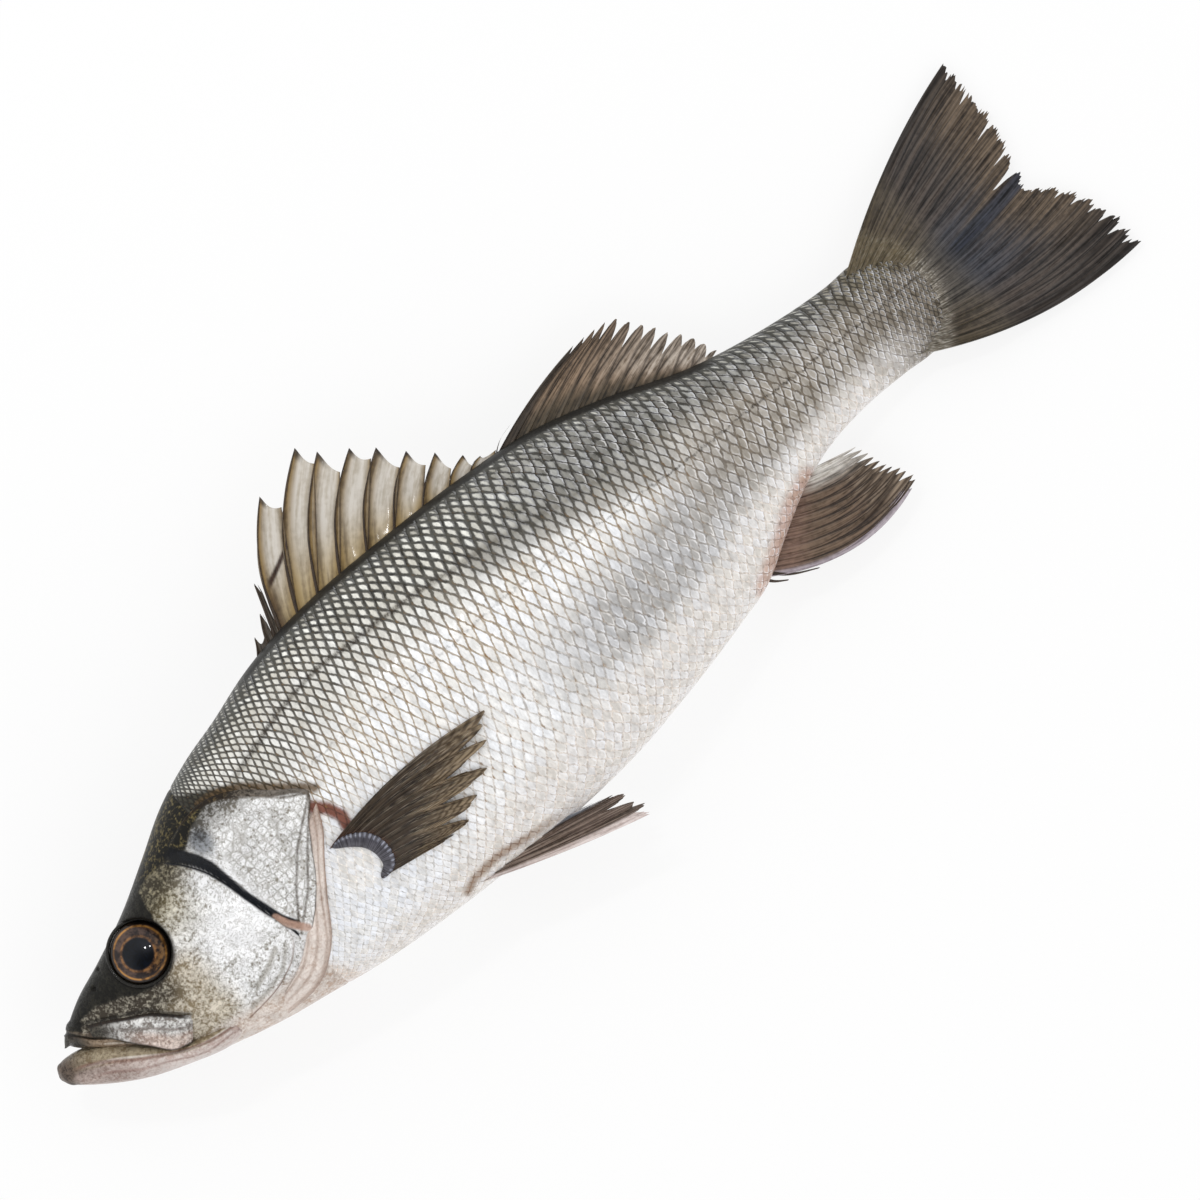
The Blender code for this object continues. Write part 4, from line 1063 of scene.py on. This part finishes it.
def soft_fin(name, root, edge, rays, bows, height, paint, splits, notch, fray=0.015, rows=60):
    """A fin of forking rays. splits are the gaps between rays: their place, depth and width."""
    per_ray = 14
    jag = rng.uniform(0, fray, rays * per_ray + 1)
    notches = rng.uniform(0.3 * notch, notch, rays)

    def shape(u, v, layer):
        w = u * rays
        off_ray = np.abs(w - np.round(w))
        fork = np.abs(np.abs(off_ray - 0.22 * ramp(v, 0.25, 0.75)) - 0.11 * ramp(v, 0.55, 1.0))
        ridge = np.exp(-(fork / 0.085) ** 2)
        (s0, h0), (s1, h1) = root(u), edge(u)
        gap = np.minimum(w.astype(int), rays - 1)
        reach = 1 - notches[gap] * (2 * off_ray) ** 1.3 - jag[np.round(u * rays * per_ray).astype(int)]
        for where, depth, width in splits:
            reach = reach * (1 - depth * np.exp(-np.abs(w - where) / width))
        reach = v * reach
        bow = (bows[0] * (1 - u) + bows[1] * u) * 4 * v * (1 - v)
        s, h = s0 + (s1 - s0) * reach, h0 + (h1 - h0) * reach + bow
        points = np.stack((s, h, height(s, h, v, layer, ridge)), -1)
        light, dark, lean = paint(u, v, ridge, s, h)
        return points, {"light": light, "dark": dark, "kind": np.stack((w, v * 12, lean + 0 * u), -1)}

    finish_piece(name, grid(rays * per_ray, rows, doubled=True), shape, "fish", soft_skin)


def rayed(ridge, web, ray):
    """Bright and dark colours of the webs and of the rays, laid by the height of the rays."""
    ones = np.ones((len(ridge), 3))
    return over(ones * linear(web[0]), ray[0], ridge), over(ones * linear(web[1]), ray[1], ridge)


def centred(root_share, edge_share):
    def height(s, h, v, layer, ridge):
        thick = RAY_THICKNESS * (root_share + (edge_share - root_share) * v)
        return fin_plane(s, h) + thick * (WEB_SHARE + (1 - WEB_SHARE) * ridge) * (layer - 0.5)

    return height


def tail_height(s, h, v, layer, ridge):
    thick = RAY_THICKNESS * (1.9 - 1.4 * v) * (WEB_SHARE + (1 - WEB_SHARE) * ridge) + 6 * ramp(s, 447, 426)
    return fin_plane(s, h) + thick * (layer - 0.5)


def along(line, span, sink):
    return lambda u: (span[0] + (span[1] - span[0]) * u, line(span[0] + (span[1] - span[0]) * u) + sink)


def tail_paint(u, v, ridge, s, h):
    light, dark = rayed(ridge, ("5E554F", "302A27"), ("26211E", "0D0B0A"))
    tan = ramp(v, 0.58, 0.95) * ramp(np.abs(u - 0.42), 0.48, 0.25) * (1 - 0.6 * ridge)
    light, dark = lay(light, dark, "87745F", "3A2F25", tan * 0.8, tan * 0.6)
    slate = ramp(np.abs(u - 0.56), 0.3, 0.1) * ramp(v, 0.9, 0.4)
    light, dark = lay(light, dark, "4C505A", "1E2026", slate * 0.75, slate * 0.8)
    bundle = ramp(np.abs(u - 0.49), 0.045, 0.02)
    light, dark = lay(light, dark, "353945", "121419", bundle * 0.9)
    borders = np.clip(ramp(u, 0.06, 0.0) + ramp(u, 0.93, 1.0), 0, 1)
    light, dark = lay(light, dark, "332D29", "161311", borders)
    base = ramp(s - 431 + 0.017 * h * h, 5, -3)
    speck = rng.uniform(size=len(u))
    light, dark = lay(light, dark, "8F877A", "4A443A", base)
    light = over(light, "DDD8CE", base * ramp(speck, 0.7, 0.95) * 0.8)
    light = over(light, "4A4438", base * ramp(speck, 0.35, 0.15) * 0.8)
    brown = base * ramp(h, 0, 9) + 0.5 * ramp(s, 446, 434) * (1 - base)
    light, dark = lay(light, dark, "6F6248", "2A2418", brown * 0.8)
    return light, dark, 0.46 - 0.05 * base


def soft_back_paint(u, v, ridge, s, h):
    light, dark = rayed(ridge, ("97806A", "483A2B"), ("3E3024", "15100C"))
    rear = ramp(u, 0.25, 0.85) * ramp(v, 0.25, 0.65) * (1 - 0.8 * ridge)
    light, dark = lay(light, dark, "D6CCC0", "7D6B58", rear * 0.8, rear * 0.7)
    base = ramp(v, 0.5, 0.2)
    light, dark = lay(light, dark, "554A3B", "231F19", base)
    front = ramp(u, 0.16, 0.05)
    light, dark = lay(light, dark, "453B31", "1E1915", front)
    return light, dark, 0.42


def anal_paint(u, v, ridge, s, h):
    light, dark = rayed(ridge, ("7C6857", "3C2F25"), ("30231B", "110B08"))
    tips = ramp(v, 0.6, 0.95) * (1 - ridge)
    light, dark = lay(light, dark, "B8A793", "5C4B3C", tips * 0.7, tips * 0.6)
    rear = ramp(u, 0.7, 0.93) * (1 - 0.45 * ridge)
    light, dark = lay(light, dark, "EAE7E1", "A79E92", rear)
    root = ramp(v, 0.3, 0.12)
    light, dark = lay(light, dark, "9A7A6C", "543A30", root * 0.5)
    front = ramp(u, 0.075, 0.04)
    light, dark = lay(light, dark, "B9AFB6", "6E6269", front)
    return light, dark, 0.42


def breast_paint(u, v, ridge, s, h):
    light, dark = rayed(ridge, ("4E4236", "251E18"), ("352D26", "14100D"))
    lines = ramp(np.abs(ridge - 0.35), 0.25, 0.05)
    light, dark = lay(light, dark, "A89A86", "6B5E4E", lines * 0.6, lines * 0.5)
    flesh = ramp(v, 0.16, 0.02)
    light, dark = lay(light, dark, "5F3A28", "2E1A12", flesh * 0.8)
    tan = ramp(v + 0.25 * u, 0.55, 1.1)
    light, dark = lay(light, dark, "A28F74", "4E3F2F", tan * 0.85, tan * 0.75)
    bars = ramp(np.sin(v * 85 + 2.4 * np.floor(u * 22)), 0.0, 0.5) * ramp(v, 0.55, 0.75) * 0.85
    light, dark = lay(light, dark, "4A3A28", "2B2017", bars)
    return light, dark, 0.42 + 0.1 * ramp(v, 0.4, 0.0)


def belly_fin_paint(u, v, ridge, s, h):
    light, dark = rayed(ridge, ("A8968A", "57473A"), ("45342A", "1B120D"))
    front = ramp(u, 0.12, 0.06)
    light, dark = lay(light, dark, "E8DCD8", "B09C96", front)
    pale = ramp(u, 0.62, 0.85) * ramp(v, 0.35, 0.6) * (1 - 0.4 * ridge)
    light, dark = lay(light, dark, "E6EAF2", "A9B2C2", pale)
    return light, dark, 0.42


def crescent_shape(side):
    """A fleshy ridge along the root of the breast fin, with the pale ends of the rays behind it."""
    root = path(BREAST_ROOT)

    def shape(u, v, _):
        along_root = 0.04 + 0.96 * u
        (s, h), (s0, h0), (s1,
                h1) = root(along_root), root(along_root - 0.02), root(np.minimum(along_root + 0.02, 1))
        length = np.maximum(np.hypot(s1 - s0, h1 - h0), 1e-9)
        angle = v * 2 * math.pi
        taper = np.sin(np.clip(u, 0, 1) * math.pi) ** 0.45
        across = 0.2 + 2.9 * np.cos(angle) * taper
        s, h = s + (h1 - h0) / length * -across, h + (s1 - s0) / length * across
        out = half_thickness(s, h) + 0.5 + 1.5 * np.sin(angle) * taper
        z = np.maximum(middle(s) + side * out, FLOOR_GAP)
        light, dark = plain(len(u), "5E5C64", "242328")
        ticks = ramp(np.cos(u * 130), -0.2, 0.6) * ramp(np.cos(angle), 0.25, 0.6)
        light, dark = lay(light, dark, "B0B3C2", "585A64", ticks * 0.9, ticks * 0.8)
        return np.stack((s, h, z), -1), {"light": light, "dark": dark,
                                         "kind": np.stack((u * 20, v * 3, 0.5 + 0 * u), -1)}

    return shape


def on_flank(side):
    def height(s, h, v, layer, ridge):
        surface = middle(s) + side * half_thickness(s, h)
        proud = 0.55 + 0.7 * ridge + 0.6 * v
        upper = np.maximum(surface + side * proud, PRESSED_IN / 2 * (1 - ridge))
        under = np.maximum(surface, floor_height(s, h)) - side * PLATE_SINK * 0.5 * (1 - v)
        return np.where(layer > 0.5, upper, under)

    return height


def trailing(root_out, tip_out):
    def height(s, h, v, layer, ridge):
        thick = RAY_THICKNESS * (1.5 - 0.8 * v) * (WEB_SHARE + (1 - WEB_SHARE) * ridge)
        return middle(s) + root_out + (tip_out - root_out) * v + thick * (layer - 0.5)

    return height


soft_fin("soft_back_fin", along(back, SOFT_BACK_ROOT, -FIN_SINK), path(SOFT_BACK_EDGE), 12, (2.2, 0),
         centred(1.1, 0.45), soft_back_paint, [(k + 0.5, 0.08 + 0.08 * (k % 3), 0.17) for k in range(3,
                 12)], 0.16)
soft_fin("anal_fin", along(belly, ANAL_ROOT, FIN_SINK), path(ANAL_EDGE), 11, (-8.5, 0),
         centred(1.1, 0.45), anal_paint, [(k + 0.5, 0.08 + 0.08 * (k % 3), 0.17) for k in range(2, 11)], 0.16)
soft_fin("tail_fin", path(TAIL_ROOT), path(TAIL_EDGE), 17, (3.8, -7.5), tail_height, tail_paint,
         ((0.7, 0.03, 0.08), (2.2, 0.09, 0.05), (3.4, 0.04, 0.05), (4.5, 0.1, 0.05), (6.5, 0.09, 0.05),
          (7.6, 0.22, 0.12), (10.3, 0.05, 0.05), (11.4, 0.08, 0.05), (12.5, 0.06, 0.05), (13.6, 0.1, 0.05),
          (14.5, 0.08, 0.07), (15.5, 0.14, 0.09), (16.4, 0.10, 0.07)), 0.025, 0.04, rows=90)
for side_name, side in (("left", 1), ("right", -1)):
    soft_fin("breast_fin_" + side_name, path(BREAST_ROOT), path(BREAST_EDGE), 11, (4, 0), on_flank(side),
             breast_paint, ((1.3, 0.24, 0.25), (3.0, 0.4, 0.4), (5.2, 0.5, 0.45), (7.4, 0.42, 0.4),
                            (9.3, 0.3, 0.35)), 0.08)
    finish_piece("breast_fin_base_" + side_name, grid(90, 24), crescent_shape(side), "fish", soft_skin)
for side_name, root_out, tip_out in (("left", 10, 6), ("right", -10, -13)):
    soft_fin("belly_fin_" + side_name, path(BELLY_FIN_ROOT), path(BELLY_FIN_EDGE), 7, (-1.5, 0.8),
             trailing(root_out, tip_out), belly_fin_paint, ((1.2, 0.06, 0.12), (2.5, 0.1, 0.16),
                     (4.3, 0.22, 0.2), (5.5, 0.14, 0.16)), 0.14)
for number, line in enumerate((((307.5, -41), (311, -46.5), (315.5, -50)),
        ((310, -41), (317, -48.5), (327, -54.5)))):
    finish_piece("anal_spine_%d" % number, grid(30, 14), spine_shape(path(line)), "fish", spine_bone)

# Floor and light
# A plain white acrylic table lit from inside, so that hardly a shadow falls on it, in a white room
# with a dim ceiling and two small lamps on the side of the fish's back.
FLOOR_SIZE = 6
FLOOR_WHITE = 0.17
FLOOR_GLOW = 0.82
WALL_LIGHT = 1.22
CEILING_LIGHT = 0.2
LAMP_SIZE = 0.08
bm = bmesh.new()
bmesh.ops.create_grid(bm, x_segments=1, y_segments=1, size=FLOOR_SIZE)
mesh = bpy.data.meshes.new("floor")
bm.to_mesh(mesh)
bm.free()
floor = bpy.data.objects.new("floor", mesh)
bpy.context.scene.collection.objects.link(floor)
floor_material = bpy.data.materials.new("white_light_table")
floor_material.use_nodes = True
floor_sockets = floor_material.node_tree.nodes["Principled BSDF"].inputs
floor_sockets["Base Color"].default_value = (FLOOR_WHITE, FLOOR_WHITE, FLOOR_WHITE, 1)
floor_sockets["Roughness"].default_value = 1.0
floor_sockets["Specular IOR Level"].default_value = 0.0
floor_sockets["Emission Color"].default_value = (1, 1, 1, 1)
floor_sockets["Emission Strength"].default_value = FLOOR_GLOW
mesh.materials.append(floor_material)

world = bpy.data.worlds.new("white_room")
bpy.context.scene.world = world
world.use_nodes = True
room = world.node_tree
upward = add(room, "SeparateXYZ", add(room, "TexCoord", output=0), output=2)
ceiling = add(room, "MapRange", upward, 0.72, 0.97, WALL_LIGHT, CEILING_LIGHT, interpolation_type="SMOOTHSTEP")
room.links.new(ceiling, room.nodes["Background"].inputs["Strength"])
room.nodes["Background"].inputs["Color"].default_value = (1, 1, 1, 1)
for name, where, power in (("first_lamp", (0.0, 0.85, 1.5), 2.2), ("second_lamp", (0.25, 0.75, 1.5), 1.3)):
    lamp = bpy.data.objects.new(name, bpy.data.lights.new(name, "AREA"))
    lamp.data.shape = "DISK"
    lamp.data.size = LAMP_SIZE
    lamp.data.energy = power
    lamp.location = where
    lamp.rotation_euler = (-Vector(where)).to_track_quat("-Z", "Y").to_euler()
    bpy.context.scene.collection.objects.link(lamp)
bpy.context.scene.view_settings.view_transform = "Standard"
